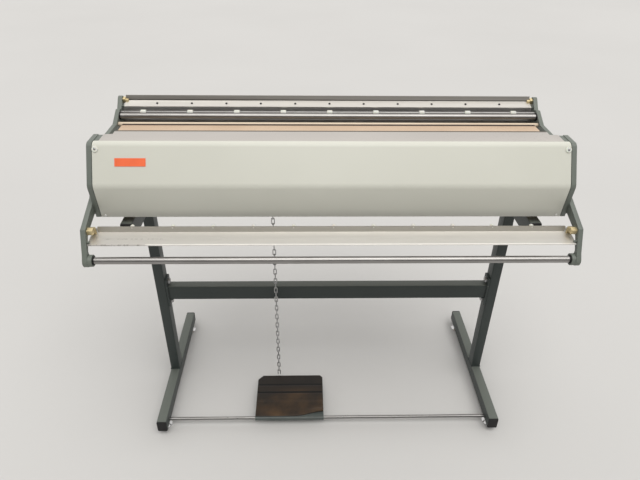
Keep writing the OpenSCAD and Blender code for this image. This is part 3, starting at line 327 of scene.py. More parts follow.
weld, entry, result = shape_tree("weld_run", {"Bead pitch": "Float", "Bead size": "Float"})
path = add(weld, "GeometryNodeMeshToCurve", Mesh=entry.outputs["Geometry"])
steps = add(
    weld,
    "GeometryNodeResampleCurve",
    ("mode", "LENGTH"),
    Curve=path.outputs["Curve"],
    Length=entry.outputs["Bead pitch"],
)
bead = add(weld, "GeometryNodeMeshIcoSphere", Radius=entry.outputs["Bead size"], Subdivisions=2)
laid = add(
    weld,
    "GeometryNodeInstanceOnPoints",
    Points=steps.outputs["Curve"],
    Instance=bead.outputs["Mesh"],
)
close_tree(weld, laid.outputs["Instances"], entry, result)

seams = bmesh.new()


def seam_loop(low, high, axis, at):
    """Adds a closed path round a tube's section, at a place along its axis."""
    i, j = [k for k in range(3) if k != axis]
    ring = []
    for u, v in ((low[i], low[j]), (high[i], low[j]), (high[i], high[j]), (low[i], high[j])):
        point = [at, at, at]
        point[i] = u
        point[j] = v
        ring.append(seams.verts.new(point))
    for a, b in zip(ring, ring[1:] + ring[:1]):
        seams.edges.new((a, b))


for side in ("left", "right"):
    low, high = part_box(f"leg_column_{side}")
    arm_low, arm_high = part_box(f"top_arm_{side}")
    seam_loop(low, high, 2, low.z)
    seam_loop((max(low.x, arm_low.x), low.y), (min(high.x, arm_high.x), high.y), 2, high.z)
for x in tube_ends:
    seam_loop((x, -tube_half_y, tube_low_z), (x, tube_half_y, tube_high_z), 0, x)
seam_mesh = bpy.data.meshes.new("weld_paths")
seams.to_mesh(seam_mesh)
seams.free()
bead_sizes = {"Bead pitch": 0.0024, "Bead size": 0.0019, "Material": frame_paint}
settle(grown("weld_seams", weld, bead_sizes, seam_mesh, sharp=180), "stand", "frame_paint")


# Tube end caps: moulded black plastic plugs pushed into the open ends of feet and top arms.
# Only the flange shows, with a soft edge and a fine moulded grain.

black_plastic = finish(
    "black_plastic", (0.011, 0.011, 0.012), (0.017, 0.016, 0.015), (0.4, 0.55),
    cloud=30, grain=1500, bump=0.00006, Specular_IOR_Level=0.25,
)
cap_t, cap_corner, cap_edge = 0.004, 0.004, 0.0012
caps = bmesh.new()
for part in ("foot", "top_arm"):
    for side in ("left", "right"):
        low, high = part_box(f"{part}_{side}")
        for front, back in ((low.y - cap_t, low.y), (high.y, high.y + cap_t)):
            cap_low, cap_high = (low.x, front, low.z), (high.x, back, high.z)
            rounded_bar(caps, cap_low, cap_high, 1, cap_corner, chamfer=cap_edge)
settle(made("end_caps", caps, black_plastic), "stand", "black_plastic", "tube_end_caps")


# Levelling glides: turned and plated steel feet, screwed into the underside of the foot tubes.
# Each has a flat rim on the floor, a cone and a collar under the tube.

copies, entry, result = shape_tree("set_copies", {"Pattern": "Object"})
pattern = add(copies, "GeometryNodeObjectInfo", Object=entry.outputs["Pattern"])
turn = add(copies, "GeometryNodeInputNamedAttribute", ("data_type", "FLOAT_VECTOR"), Name="turn")
placed = add(
    copies,
    "GeometryNodeInstanceOnPoints",
    Points=entry.outputs["Geometry"],
    Instance=pattern.outputs["Geometry"],
    Rotation=turn.outputs["Attribute"],
)
close_tree(copies, placed.outputs["Instances"], entry, result)


def set_copies(name, pattern_bm, places, material):
    """Copies of one pattern at (place, turn) pairs, as one mesh."""
    mesh = bpy.data.meshes.new(name + "_places")
    mesh.from_pydata([place for place, _ in places], [], [])
    turns = mesh.attributes.new("turn", "FLOAT_VECTOR", "POINT")
    turns.data.foreach_set("vector", [part for _, turn in places for part in turn])
    model = made(name + "_pattern", pattern_bm, material)
    piece = grown(name, copies, {"Pattern": model, "Material": material}, mesh)
    bpy.data.objects.remove(model)
    return piece


def ring_about(bm, radius, z, sides):
    """A ring of points about Z."""
    angles = [2 * math.pi * k / sides for k in range(sides)]
    return [bm.verts.new((radius * math.cos(a), radius * math.sin(a), z)) for a in angles]


def lathe(profile, sides=32):
    """A closed turned shape from (radius, height) points, about Z; a bored one ends where it began."""
    bm = bmesh.new()
    bored = profile[0] == profile[-1]
    points = profile[:-1] if bored else profile
    rings = [ring_about(bm, r, z, sides if r > 1e-7 else 1) for r, z in points]
    skin(bm, rings + rings[:1] if bored else rings)
    return bm


chrome = finish(
    "plated_steel", (0.66, 0.66, 0.66), (0.58, 0.58, 0.585), (0.08, 0.18), metallic=1.0, cloud=20, grain=400
)
glide = lathe([
    (0, 0), (0.0192, 0), (0.02, 0.0008), (0.02, 0.0034), (0.0188, 0.0046),
    (0.0108, 0.0106), (0.01, 0.0118), (0.01, 0.015), (0, 0.015),
])
glide_inset = 0.036
spots = []
for side in ("left", "right"):
    low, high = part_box(f"foot_{side}")
    for y in (low.y + glide_inset, high.y - glide_inset):
        spots.append((((low.x + high.x) / 2, y, 0), (0, 0, 0)))
settle(set_copies("glides", glide, spots, chrome), "stand", "chrome", "levelling_glides")


# Hexagon bolts: plain steel, two at each end of both rails and of the stretcher, and those that
# hold the rails on the stand. The heads are chamfered on top, and the shanks are out of sight.

def hexagon(across, height):
    """A bolt head that stands on Z = 0."""
    bm = bmesh.new()
    corner_r = across / math.sqrt(3)
    rings = []
    for share, z in ((1, 0), (1, height * 0.78), (0.9, height), (0.5, height)):
        rings.append(ring_about(bm, share * corner_r, z, 6))
    skin(bm, rings)
    bm.faces.new(rings[0])
    bm.faces.new(rings[-1])
    return bm


def keep_node(node, material):
    """A solid whose shape is right stays and takes a finish."""
    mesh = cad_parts[node].data
    mesh.materials.clear()
    mesh.materials.append(material)


steel = finish(
    "machined_steel", (0.43, 0.43, 0.43), (0.34, 0.34, 0.345), (0.28, 0.46),
    metallic=1.0, cloud=40, grain=900, bump=0.00003,
)
bolt_across, head_h = 0.016, 0.0064
quarter = math.pi / 2
rail_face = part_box("rail_bolts")[1].x - head_h
rails_y, rail_z, rail_bolt_up = (-0.005, 0.080), 0.748, 0.010
spots = []
for s in (-1, 1):
    for y in rails_y:
        for up in (-rail_bolt_up, rail_bolt_up):
            spots.append(((s * rail_face, y, rail_z + up), (0, s * quarter, 0)))
rail_heads = set_copies("rail_bolt_heads", hexagon(bolt_across, head_h), spots, steel)
settle(rail_heads, "stand", "steel", "rail_bolts")
beam_z, beam_bolt_up = (tube_low_z + tube_high_z) / 2, 0.038
spots = []
for s in (-1, 1):
    for up in (-beam_bolt_up, beam_bolt_up):
        spots.append(((s * tube_ends[1], 0, beam_z + up), (0, -s * quarter, 0)))
beam_heads = set_copies("stretcher_bolt_heads", hexagon(bolt_across, head_h), spots, steel)
settle(beam_heads, "stand", "steel", "stretcher_bolts")
keep_node("deck_bolts", steel)


# Treadle: a bright steel rod between the feet carries a folded plate with a sleeve.
# The plate is painted like the frame, and shoes have worn it paler.

drawn_rod = finish(
    "drawn_rod", (0.28, 0.275, 0.265), (0.22, 0.215, 0.21), (0.25, 0.4),
    metallic=1.0, cloud=12, grain=300, stretch=(0.2, 1, 1),
)
keep_node("treadle_rod", drawn_rod)
pedal_paint = finish(
    "pedal_paint", (0.088, 0.102, 0.094), (0.062, 0.075, 0.072), (0.35, 0.55),
    cloud=22, grain=700, bump=0.0001,
)
keep_node("pedal_plate", pedal_paint)


# Treadle mat: a rubber sheet glued on the plate, with broad ridges that are worn flat in front.
# Its right front corner has come loose and curls up; the worn front is painted brown, both for dust and for
# the sheen of light it reflects.

pedal_at, pedal_tilt = Vector((-0.124, -0.206, 0.024)), math.radians(4)
mat_half, mat_front, mat_back, mat_cut = 0.108, -0.002, 0.159, 0.016
mat_base, mat_thick = 0.010, 0.003
ridge_h, ridge_w, ridge_pitch, ridge_flank, ridged_to = 0.0015, 0.025, 0.031, 0.003, 0.119
worn_to, worn_fade = 0.04, 0.04
curl_from, curl_w, curl_back, curl_in, curl_up = 0.012, 0.095, 0.040, 0.013, 0.0065
edge_share, edge_drop = 0.012, 0.0008
columns, rows = 60, 110


def ease(v):
    """A smooth rise from 0 to 1."""
    v = min(1, max(0, v))
    return v * v * (3 - 2 * v)


def ridge(back):
    """Height of the ridges at a distance behind the rod; the grooves are shallow where it is worn."""
    past = (back - mat_front) % ridge_pitch
    on = ease(past / ridge_flank) * ease((ridge_w - past) / ridge_flank) if back < ridged_to else 0
    depth = 0.25 + 0.75 * ease((back - worn_to) / worn_fade)
    return ridge_h * (1 - depth * (1 - on))


def rim(grid):
    """The outer points of a grid of rows, in order round it."""
    return grid[0] + [row[-1] for row in grid[1:]] + grid[-1][-2::-1] + [row[0] for row in grid[-2:0:-1]]


mat = bmesh.new()
tilted = Matrix.Rotation(pedal_tilt, 3, "X")
top, under = [], []
for r in range(rows + 1):
    share = r / rows
    top_row, under_row = [], []
    for c in range(columns + 1):
        back = mat_front + (mat_back - mat_front) * share
        left = -mat_half + max(0, back - (mat_back - mat_cut))
        right = mat_half - max(0, back - (mat_back - mat_cut / 2))
        x = left + (right - left) * c / columns
        loose = ease((x - curl_from) / curl_w) * ease((curl_back - back) / curl_back)
        back += curl_in * loose
        lift = curl_up * loose * loose
        edge = min(1, min(share, 1 - share, c / columns, 1 - c / columns) / edge_share)
        soft = edge_drop * (1 - edge) ** 2
        for row, up in ((top_row, mat_thick + ridge(back) - soft), (under_row, 0.0)):
            point = Vector((x, back, mat_base + up + lift))
            row.append(mat.verts.new(pedal_at + tilted @ point))
    top.append(top_row)
    under.append(under_row)
for r in range(rows):
    for c in range(columns):
        mat.faces.new((top[r][c], top[r][c + 1], top[r + 1][c + 1], top[r + 1][c]))
        mat.faces.new((under[r][c], under[r + 1][c], under[r + 1][c + 1], under[r][c + 1]))
skin(mat, [rim(top), rim(under)])
rubber = finish(
    "mat_rubber", (0.019, 0.0145, 0.011), (0.012, 0.0095, 0.008), (0.42, 0.58),
    cloud=14, grain=700, bump=0.00012, Specular_IOR_Level=0.25,
)
brown_dust_and_sheen, painted_groove_shade = (0.085, 0.048, 0.022), (0.003, 0.0025, 0.002)
brown_from, brown_full, groove_half = -0.08, -0.15, 0.0032
tree = rubber.node_tree
# Brown painted over the front: partly dust, partly a painted sheen of reflected light.
in_front = beyond(rubber, "Y", brown_from, brown_full, most=0.9)
patches = reckon(tree, "MULTIPLY", in_front, tree.nodes["mottle"].outputs["Cloud"])
overlay(rubber, brown_dust_and_sheen, patches)
place = add(tree, "ShaderNodeSeparateXYZ", Vector=spot_of(rubber))
# Painted shade: the two rear grooves are darkened almost to black as the shadow in them.
for groove in (3, 4):
    groove_back = mat_front + ridge_pitch * groove - (ridge_pitch - ridge_w) / 2
    groove_y = pedal_at.y + groove_back * math.cos(pedal_tilt)
    in_groove = reckon(tree, "COMPARE", place.outputs["Y"], groove_y, groove_half)
    overlay(rubber, painted_groove_shade, in_groove)
settle(made("ridged_mat", mat, rubber, sharp=50), "pedal", "rubber", "pedal_mat")


# Treadle eye, chain and shackle: zinc-plated wire, the shackle plain steel. The links are welded
# rings, each turned a quarter against the next, from the eye at the back of the treadle up to the
# shackle on the lever.

zinc = finish(
    "zinc_wire", (0.5, 0.5, 0.49), (0.36, 0.365, 0.37), (0.3, 0.48), metallic=1.0, cloud=60, grain=1200
)
bright_zinc = finish(
    "bright_zinc", (0.82, 0.82, 0.80), (0.72, 0.72, 0.70), (0.38, 0.5), metallic=0.7, cloud=60, grain=1200
)
keep_node("pedal_eye", bright_zinc)
keep_node("chain_shackle", steel)

row_tree, entry, result = shape_tree(
    "row_of_copies",
    {
        "Pattern": "Object",
        "Count": "Int",
        "Start": "Vector",
        "Step": "Vector",
        "Turn": "Vector",
        "Turn of every second": "Vector",
    },
)
pattern = add(row_tree, "GeometryNodeObjectInfo", Object=entry.outputs["Pattern"])
line = add(
    row_tree,
    "GeometryNodeMeshLine",
    Count=entry.outputs["Count"],
    Start_Location=entry.outputs["Start"],
    Offset=entry.outputs["Step"],
)
index = add(row_tree, "GeometryNodeInputIndex")
extra = add(
    row_tree,
    "ShaderNodeVectorMath",
    ("operation", "SCALE"),
    Vector=entry.outputs["Turn of every second"],
    Scale=reckon(row_tree, "MODULO", index.outputs["Index"], 2),
)
whole = add(row_tree, "ShaderNodeVectorMath", ("operation", "ADD"), Vector=entry.outputs["Turn"])
feed(row_tree, whole.inputs[1], extra.outputs["Vector"])
placed = add(
    row_tree,
    "GeometryNodeInstanceOnPoints",
    Points=line.outputs["Mesh"],
    Instance=pattern.outputs["Geometry"],
    Rotation=whole.outputs["Vector"],
)
close_tree(row_tree, placed.outputs["Instances"], entry, result)


def row_of_copies(
    name, pattern_bm, count, start, step, material, turn=(0, 0, 0), second=(0, 0, 0), sharp=35
):
    """Copies of one pattern in a straight row, as one mesh."""
    model = made(name + "_pattern", pattern_bm, material)
    values = {
        "Pattern": model,
        "Count": count,
        "Start": start,
        "Step": step,
        "Turn": turn,
        "Turn of every second": second,
        "Material": material,
    }
    piece = grown(name, row_tree, values, None, sharp)
    bpy.data.objects.remove(model)
    return piece


def ring_of_wire(path, radius, sides=8):
    """A closed wire along a path in the XZ plane."""
    bm = bmesh.new()
    rings = []
    for k, middle in enumerate(path):
        ahead = (path[(k + 1) % len(path)] - path[k - 1]).normalized()
        aside = Vector((ahead.z, 0, -ahead.x))
        ring = []
        for s in range(sides):
            angle = 2 * math.pi * s / sides
            out = math.cos(angle) * aside + Vector((0, math.sin(angle), 0))
            ring.append(bm.verts.new(middle + radius * out))
        rings.append(ring)
    skin(bm, rings + rings[:1])
    return bm


link_wire, link_w, link_len, link_pitch = 0.003, 0.011, 0.024, 0.0177
bend, straight = (link_w - link_wire) / 2, link_len - link_w
outline = []
for s in (1, -1):
    for k in range(11):
        angle = math.radians(18 * k)
        height = s * (straight / 2 + bend * math.sin(angle))
        outline.append(Vector((s * bend * math.cos(angle), 0, height)))
chain_low, chain_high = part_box("pedal_chain")
links = round((chain_high.z - chain_low.z - link_len) / link_pitch) + 1
first = ((chain_low.x + chain_high.x) / 2, (chain_low.y + chain_high.y) / 2, chain_low.z + link_len / 2)
link = ring_of_wire(outline, link_wire / 2)
link_step = (0, 0, link_pitch)
chain = row_of_copies("chain_links", link, links, first, link_step, zinc, second=(0, 0, quarter), sharp=60)
settle(chain, "chain", "zinc", "pedal_chain")


# Side plates: thick flat steel, cut to shape, with a paler coat than the stand's. They carry both
# folding stations; an arm reaches to the lower front and a horn to the upper back. Edges are broken.

def eased(node, name, material, body, slot, width, shortest, steps=2):
    """A solid made again with its long sharp edges broken by a small round."""
    sharp = 25
    bm = bmesh.new()
    bm.from_mesh(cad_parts[node].data)
    bmesh.ops.remove_doubles(bm, verts=bm.verts, dist=2e-6)
    bmesh.ops.dissolve_limit(bm, angle_limit=math.radians(0.4), verts=bm.verts, edges=bm.edges)
    weight = bm.edges.layers.float.new("bevel_weight_edge")
    for edge in bm.edges:
        if len(edge.link_faces) != 2 or edge.calc_length() <= shortest:
            continue
        if edge.calc_face_angle() > math.radians(sharp):
            edge[weight] = 1.0
    piece = made(name, bm, material, sharp)
    bevel = piece.modifiers.new("broken_edges", "BEVEL")
    bevel.limit_method = "WEIGHT"
    bevel.width = width
    bevel.segments = steps
    bevel.use_clamp_overlap = False
    return settle(plain(piece, sharp), body, slot, node)


plate_paint = finish(
    "plate_paint", (0.155, 0.174, 0.150), (0.132, 0.150, 0.132), (0.4, 0.55),
    cloud=7, grain=900, bump=0.00009,
)
for side in ("left", "right"):
    node = f"side_plate_{side}"
    eased(node, node + "_cut", plate_paint, "stand", "frame_paint", width=0.0009, shortest=0.003)


# Cross rails: square tube between the side plates, closed by bolted end plates, in the stand's
# paint. They rest on the top arms, and carry the ribs of the bed and the spring seats.

for end in ("front", "rear"):
    rail = bmesh.new()
    rounded_bar(rail, *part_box(f"{end}_cross_rail"), 0, tube_corner)
    settle(made(f"{end}_rail_tube", rail, frame_paint), "stand", "frame_paint", f"{end}_cross_rail")


# Bed: a bent sheet with a speckled tan laminate on it, dark along its rear end, on three upright
# ribs of plain sheet. A thin roller with a tan rubber cover leads the paper under the upper bar.

specks, entry, result = new_tree(
    "ShaderNodeTree",
    "specks",
    {"Vector": "Vector", "Scale": "Float", "Rim": "Float", "Core": "Float", "Most": "Float"},
    {"Mask": "Float"},
)
cells = add(specks, "ShaderNodeTexVoronoi", Vector=entry.outputs["Vector"], Scale=entry.outputs["Scale"])
dots = add(
    specks,
    "ShaderNodeMapRange",
    Value=cells.outputs["Distance"],
    From_Min=entry.outputs["Rim"],
    From_Max=entry.outputs["Core"],
    To_Max=entry.outputs["Most"],
)
feed(specks, result.inputs["Mask"], dots.outputs["Result"])


def specked(material, scale, rim_at, core_at, most):
    """A mask of dots, from nothing at their rim to the most at their core."""
    dotted = add(
        material.node_tree, specks,
        Vector=spot_of(material), Scale=scale, Rim=rim_at, Core=core_at, Most=most,
    )
    return dotted.outputs["Mask"]


laminate = finish(
    "bed_laminate", (0.61, 0.46, 0.33), (0.555, 0.405, 0.285), (0.42, 0.58), cloud=9, grain=500
)
speck_brown, end_black = (0.36, 0.22, 0.13), (0.03, 0.012, 0.008)
end_from, end_full = 0.1, 0.101
overlay(laminate, speck_brown, specked(laminate, scale=420, rim_at=0.30, core_at=0.16, most=0.55))
overlay(laminate, end_black, beyond(laminate, "Y", end_from, end_full))
eased("bed_plate", "bed_sheet", laminate, "stand", "bed_laminate", width=0.0006, shortest=0.02)
keep_node("bed_supports", steel)
roller_rubber = finish(
    "roller_cover", (0.74, 0.62, 0.47), (0.68, 0.56, 0.42), (0.5, 0.65),
    cloud=14, grain=600, stretch=(0.4, 1, 1),
)
keep_node("bed_roller", roller_rubber)


# Clamp: a beam with a rubber strip hangs on two painted arms from the rocker shaft under the bed.
# The lever that the chain pulls and the spring arms are plain steel on the same shaft.

brass = finish(
    "machined_brass", (0.80, 0.68, 0.42), (0.72, 0.60, 0.36), (0.45, 0.6),
    metallic=1.0, cloud=35, grain=700, bump=0.00003,
)
keep_node("rocker_shaft", drawn_rod)
keep_node("shaft_bushes", brass)
for node in ("chain_lever", "spring_arms", "spring_seats"):
    keep_node(node, steel)
for side in ("left", "right"):
    node = f"clamp_arm_{side}"
    eased(node, node + "_bar", frame_paint, "rocker", "frame_paint", width=0.0008, shortest=0.008)
eased(
    "clamp_beam", "clamp_beam_tube", frame_paint, "rocker", "frame_paint",
    width=0.0018, shortest=0.05, steps=3,
)
strip_rubber = finish(
    "strip_rubber", (0.016, 0.016, 0.016), (0.022, 0.021, 0.02), (0.6, 0.8),
    cloud=25, grain=800, bump=0.0001,
)
eased("clamp_strip", "clamp_rubber", strip_rubber, "rocker", "rubber", width=0.001, shortest=0.003)


# Return springs: round wire wound on the spring seats under the spring arms, one close turn at
# each end. They push the clamp and, through the chain, the treadle back up.

coil, entry, result = shape_tree(
    "return_spring",
    {"Turns": "Float", "Radius": "Float", "Height": "Float", "Close rise": "Float", "Wire": "Float"},
)
turns, height, close = [entry.outputs[label] for label in ("Turns", "Height", "Close rise")]
share = add(coil, "GeometryNodeSplineParameter").outputs["Factor"]
turned = reckon(coil, "MULTIPLY", share, turns)
free_turns = reckon(coil, "SUBTRACT", turns, 2.0)
first_rise = reckon(coil, "MULTIPLY", reckon(coil, "MINIMUM", turned, 1.0), close)
into_last = reckon(coil, "SUBTRACT", turned, reckon(coil, "SUBTRACT", turns, 1.0))
last_rise = reckon(coil, "MULTIPLY", reckon(coil, "MAXIMUM", into_last, 0.0), close)
past_first = reckon(coil, "MAXIMUM", reckon(coil, "SUBTRACT", turned, 1.0), 0.0)
free_height = reckon(coil, "SUBTRACT", height, reckon(coil, "MULTIPLY", close, 2.0))
free_pitch = reckon(coil, "DIVIDE", free_height, free_turns)
free_rise = reckon(coil, "MULTIPLY", reckon(coil, "MINIMUM", past_first, free_turns), free_pitch)
whole_rise = reckon(coil, "ADD", reckon(coil, "ADD", first_rise, free_rise), last_rise)
upward = add(coil, "ShaderNodeCombineXYZ", Z=whole_rise)
spiral = add(
    coil,
    "GeometryNodeCurveSpiral",
    Resolution=24,
    Rotations=turns,
    Start_Radius=entry.outputs["Radius"],
    End_Radius=entry.outputs["Radius"],
    Height=0.0,
)
lifted = add(
    coil,
    "GeometryNodeSetPosition",
    Geometry=spiral.outputs["Curve"],
    Offset=upward.outputs["Vector"],
)
section = add(coil, "GeometryNodeCurvePrimitiveCircle", Resolution=10, Radius=entry.outputs["Wire"])
swept = add(
    coil,
    "GeometryNodeCurveToMesh",
    Curve=lifted.outputs["Geometry"],
    Profile_Curve=section.outputs["Curve"],
    Fill_Caps=True,
)
stood = add(
    coil,
    "GeometryNodeInstanceOnPoints",
    Points=entry.outputs["Geometry"],
    Instance=swept.outputs["Mesh"],
)
close_tree(coil, stood.outputs["Instances"], entry, result)

spring_low, spring_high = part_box("return_springs")
wire_r, coil_r, spring_x, spring_y = 0.001, 0.010, 0.350, -0.005
spring_steel = finish(
    "spring_steel", (0.34, 0.34, 0.345), (0.26, 0.26, 0.265), (0.25, 0.4), metallic=1.0, cloud=60, grain=900
)
stands = bpy.data.meshes.new("spring_places")
stands.from_pydata([(s * spring_x, spring_y, spring_low.z + wire_r) for s in (-1, 1)], [], [])
coil_sizes = {
    "Turns": 8.0,
    "Radius": coil_r,
    "Height": spring_high.z - spring_low.z - 2 * wire_r,
    "Close rise": 0.0027,
    "Wire": wire_r,
    "Material": spring_steel,
}
springs = grown("coil_springs", coil, coil_sizes, stands, sharp=60)
settle(springs, "stand", "steel", "return_springs")
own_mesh(springs)


# Cover: one steel sheet, folded over the nose and rolled at the top, screwed to the two cheeks.
# Fine light grey paint, a little darker towards the bottom edge.

def filleted(points, radii, steps=8):
    """A path in YZ with rounded corners."""
    path = [Vector(points[0])]
    for before, at, after, radius in zip(points, points[1:], points[2:], radii):
        corner = Vector(at)
        u = (Vector(before) - corner).normalized()
        v = (Vector(after) - corner).normalized()
        half = math.acos(max(-1, min(1, u.dot(v)))) / 2
        reach = radius / math.tan(half)
        centre = corner + (u + v).normalized() * radius / math.sin(half)
        a, b = corner + u * reach - centre, corner + v * reach - centre
        swing = math.atan2(a.x * b.y - a.y * b.x, a.dot(b))
        for s in range(steps + 1):
            path.append(centre + Matrix.Rotation(swing * s / steps, 2) @ a)
    path.append(Vector(points[-1]))
    return path


def sheet_rows(bm, path, stations, before=None):
    """Adds one strip of sheet along a YZ path, going on from an earlier row if one is given."""
    rows = [before] if before else []
    rows += [[bm.verts.new((x, p.x, p.y)) for x in stations] for p in path[len(rows):]]
    for a, b in zip(rows, rows[1:]):
        for k in range(len(stations) - 1):
            bm.faces.new((a[k], a[k + 1], b[k + 1], b[k]))
    return rows[-1]


def folded(name, bm, material, thickness):
    """Gives the strips their thickness on the inside and breaks the cut edges."""
    sharp = 40
    piece = made(name, bm, material, sharp)
    outward = piece.data.polygons[0].normal
    if outward.y - outward.z > 0:
        piece.data.flip_normals()
    wall = piece.modifiers.new("sheet", "SOLIDIFY")
    wall.thickness = thickness
    wall.offset = -1
    edge = piece.modifiers.new("edges", "BEVEL")
    edge.width = 0.0004
    edge.segments = 2
    edge.limit_method = "ANGLE"
    edge.angle_limit = math.radians(50)
    return plain(piece, sharp)


cover_low, cover_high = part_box("cover_shell")
foot_yz, nose_yz, top_yz = (-0.165, 0.7465), (-0.178, 0.839), (-0.124, 0.930)
nose_r, roll_r = 0.024, 0.016
sheet_t, end_gap = 0.002, 0.0003
shell = bmesh.new()
cover_path = filleted([foot_yz, nose_yz, top_yz, (cover_high.y, cover_high.z)], [nose_r, roll_r])
sheet_rows(shell, cover_path, [cover_low.x + end_gap, 0.0, cover_high.x - end_gap])
cover_paint = finish(
    "cover_paint", (0.660, 0.662, 0.592), (0.630, 0.632, 0.562), (0.42, 0.54),
    cloud=3, grain=1100, bump=0.00005,
)
# The paint is made a little darker towards the bottom edge.
bottom_grey, bottom_from, bottom_full = (0.46, 0.46, 0.42), 0.775, 0.750
overlay(cover_paint, bottom_grey, beyond(cover_paint, "Z", bottom_from, bottom_full, most=0.35))
settle(folded("cover_sheet", shell, cover_paint, sheet_t), "stand", "cover_paint", "cover_shell")


# Top panel: a bare aluminium sheet behind the cover's top roll, with a lip along its back edge.
# It lies on the cheeks; both rear corners are cut out. Dark specks of wear lie towards its right
# end, and its back edge and lip are painted dark as the shadow line behind it.

panel_low, panel_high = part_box("cover_top")
panel_z = panel_high.z
notch_y, notch_w, lip, lip_r = -0.067, 0.022, 0.012, 0.0035
panel = bmesh.new()
stations = [
    panel_low.x + end_gap,
    panel_low.x + notch_w,
    0.0,
    panel_high.x - notch_w,
    panel_high.x - end_gap,
]
last = sheet_rows(panel, [Vector((panel_low.y, panel_z)), Vector((notch_y, panel_z))], stations)
rear_path = filleted(
    [(notch_y, panel_z), (panel_high.y, panel_z), (panel_high.y, panel_z - lip)], [lip_r]
)
sheet_rows(panel, rear_path, stations[1:4], last[1:4])
bare_sheet = finish(
    "bare_sheet", (0.62, 0.59, 0.555), (0.57, 0.54, 0.51), (0.42, 0.55),
    metallic=0.85, cloud=6, grain=500, stretch=(0.5, 1, 1),
)
worn_grey, worn_from, worn_full = (0.22, 0.20, 0.18), -0.1, 0.5
painted_edge_shade, shade_from, shade_full = (0.14, 0.125, 0.10), panel_high.y - 0.010, panel_high.y - 0.009
worn_dots = specked(bare_sheet, scale=130, rim_at=0.17, core_at=0.08, most=1.0)
rightward = beyond(bare_sheet, "X", worn_from, worn_full, most=0.5)
overlay(bare_sheet, worn_grey, reckon(bare_sheet.node_tree, "MULTIPLY", worn_dots, rightward))
# Painted shade: the last centimetre of the top and the lip are darkened as the shadow line at the back
# edge.
overlay(bare_sheet, painted_edge_shade, beyond(bare_sheet, "Y", shade_from, shade_full))
settle(folded("top_panel_sheet", panel, bare_sheet, sheet_t), "stand", "aluminium", "cover_top")


# Cover cheeks: steel plates that close the cover's ends, with a ledge that the sheet is screwed to.
# They have the paint of the side plates and show as a dark band round the cover's ends.

for side in ("left", "right"):
    node = f"cover_cheek_{side}"
    eased(node, node + "_cut", plate_paint, "stand", "frame_paint", width=0.0008, shortest=0.0035)


# Cover fasteners: slotted screws, the upper pair on white nylon washers, the lower pair bare.
# They go through the sheet into the ledges of the cheeks.

def pan_head(radius, height, slot_w):
    """A domed screw head with a slot across it, standing on Z = 0."""
    dome = ((0, 0), (0.97, 0), (1, 0.15), (1, 0.55), (0.86, 0.85), (0.6, 0.97), (0, 1))
    bm = lathe([(radius * r, height * z) for r, z in dome], 24)
    for wall_y in (-slot_w / 2, slot_w / 2):
        whole = bm.verts[:] + bm.edges[:] + bm.faces[:]
        bmesh.ops.bisect_plane(bm, geom=whole, plane_co=(0, wall_y, 0), plane_no=(0, 1, 0))
    for v in bm.verts:
        if abs(v.co.y) < slot_w * 0.49 and v.co.z > height * 0.5:
            v.co.z = height * 0.45
    return bm


def on_face(start, end, distance):
    """The place at a distance from a start along a straight face of the cover, in YZ."""
    return Vector(start) + (Vector(end) - Vector(start)).normalized() * distance


def lean_of(low, high):
    """How far a face of the cover leans back from upright."""
    return math.atan2(high[0] - low[0], high[1] - low[1])


def both_ends(x, place, turn):
    """One place at each end of the cover, with the same turn."""
    return [((s * x, place.x, place.y), turn) for s in (-1, 1)]


nylon = finish(
    "white_nylon", (0.80, 0.78, 0.71), (0.72, 0.70, 0.63), (0.35, 0.5),
    cloud=60, grain=800, Subsurface_Weight=0.08,
)
washer_hole, washer_t = 0.0017, 0.0025
washer = lathe([
    (washer_hole, 0), (0.007, 0), (0.0075, 0.0005), (0.0075, 0.0017), (0.0068, washer_t),
    (washer_hole, washer_t), (washer_hole, 0),
])
cover_head = {"radius": 0.003, "height": 0.002, "slot_w": 0.0008}
screw_x, low_screw_x, screw_below_top, screw_above_foot = 0.579, 0.575, 0.015, 0.006
lean = lean_of(nose_yz, top_yz)
upper_turn, lower_turn = (quarter - lean, 0, 0), (quarter - lean_of(foot_yz, nose_yz), 0, 0)
top_face = on_face(top_yz, nose_yz, screw_below_top)
low_face = on_face(foot_yz, nose_yz, screw_above_foot)
washer_face = top_face + Vector((-math.cos(lean), math.sin(lean))) * washer_t
washers = set_copies("nylon_washers", washer, both_ends(screw_x, top_face, upper_turn), nylon)
settle(washers, "stand", "white_nylon", "cover_washers")
spots = both_ends(screw_x, washer_face, upper_turn)
upper_heads = set_copies("upper_cover_screws", pan_head(**cover_head), spots, steel)
settle(upper_heads, "stand", "steel", "cover_screws")
spots = both_ends(low_screw_x, low_face, lower_turn)
lower_heads = set_copies("lower_cover_screws", pan_head(**cover_head), spots, bright_zinc)
settle(lower_heads, "stand", "steel")


# Small plate on the cover: a bare strip of enamelled sheet, glued near the left end.
# The enamel is a plain orange-red, and the edges are slightly eased.

enamel = finish(
    "orange_enamel", (0.92, 0.165, 0.056), (0.85, 0.145, 0.048), (0.3, 0.42), cloud=30, grain=700
)
eased("name_plate", "enamel_plate", enamel, "stand", "name_plate", width=0.0003, shortest=0.0005)


# Round bars: ground and plated steel over the whole width, one at the upper back and one at the
# lower front, turning in flanged black bushes in the side plates. Painted pins stop the flaps.

bar_steel = finish(
    "ground_bar", (0.35, 0.34, 0.33), (0.30, 0.29, 0.28), (0.3, 0.4),
    metallic=1.0, cloud=10, grain=1200, stretch=(1, 0.25, 0.25),
)
for station in ("upper", "lower"):
    keep_node(f"{station}_round_bar", bar_steel)
keep_node("bar_bushes", black_plastic)
keep_node("stop_pins", plate_paint)
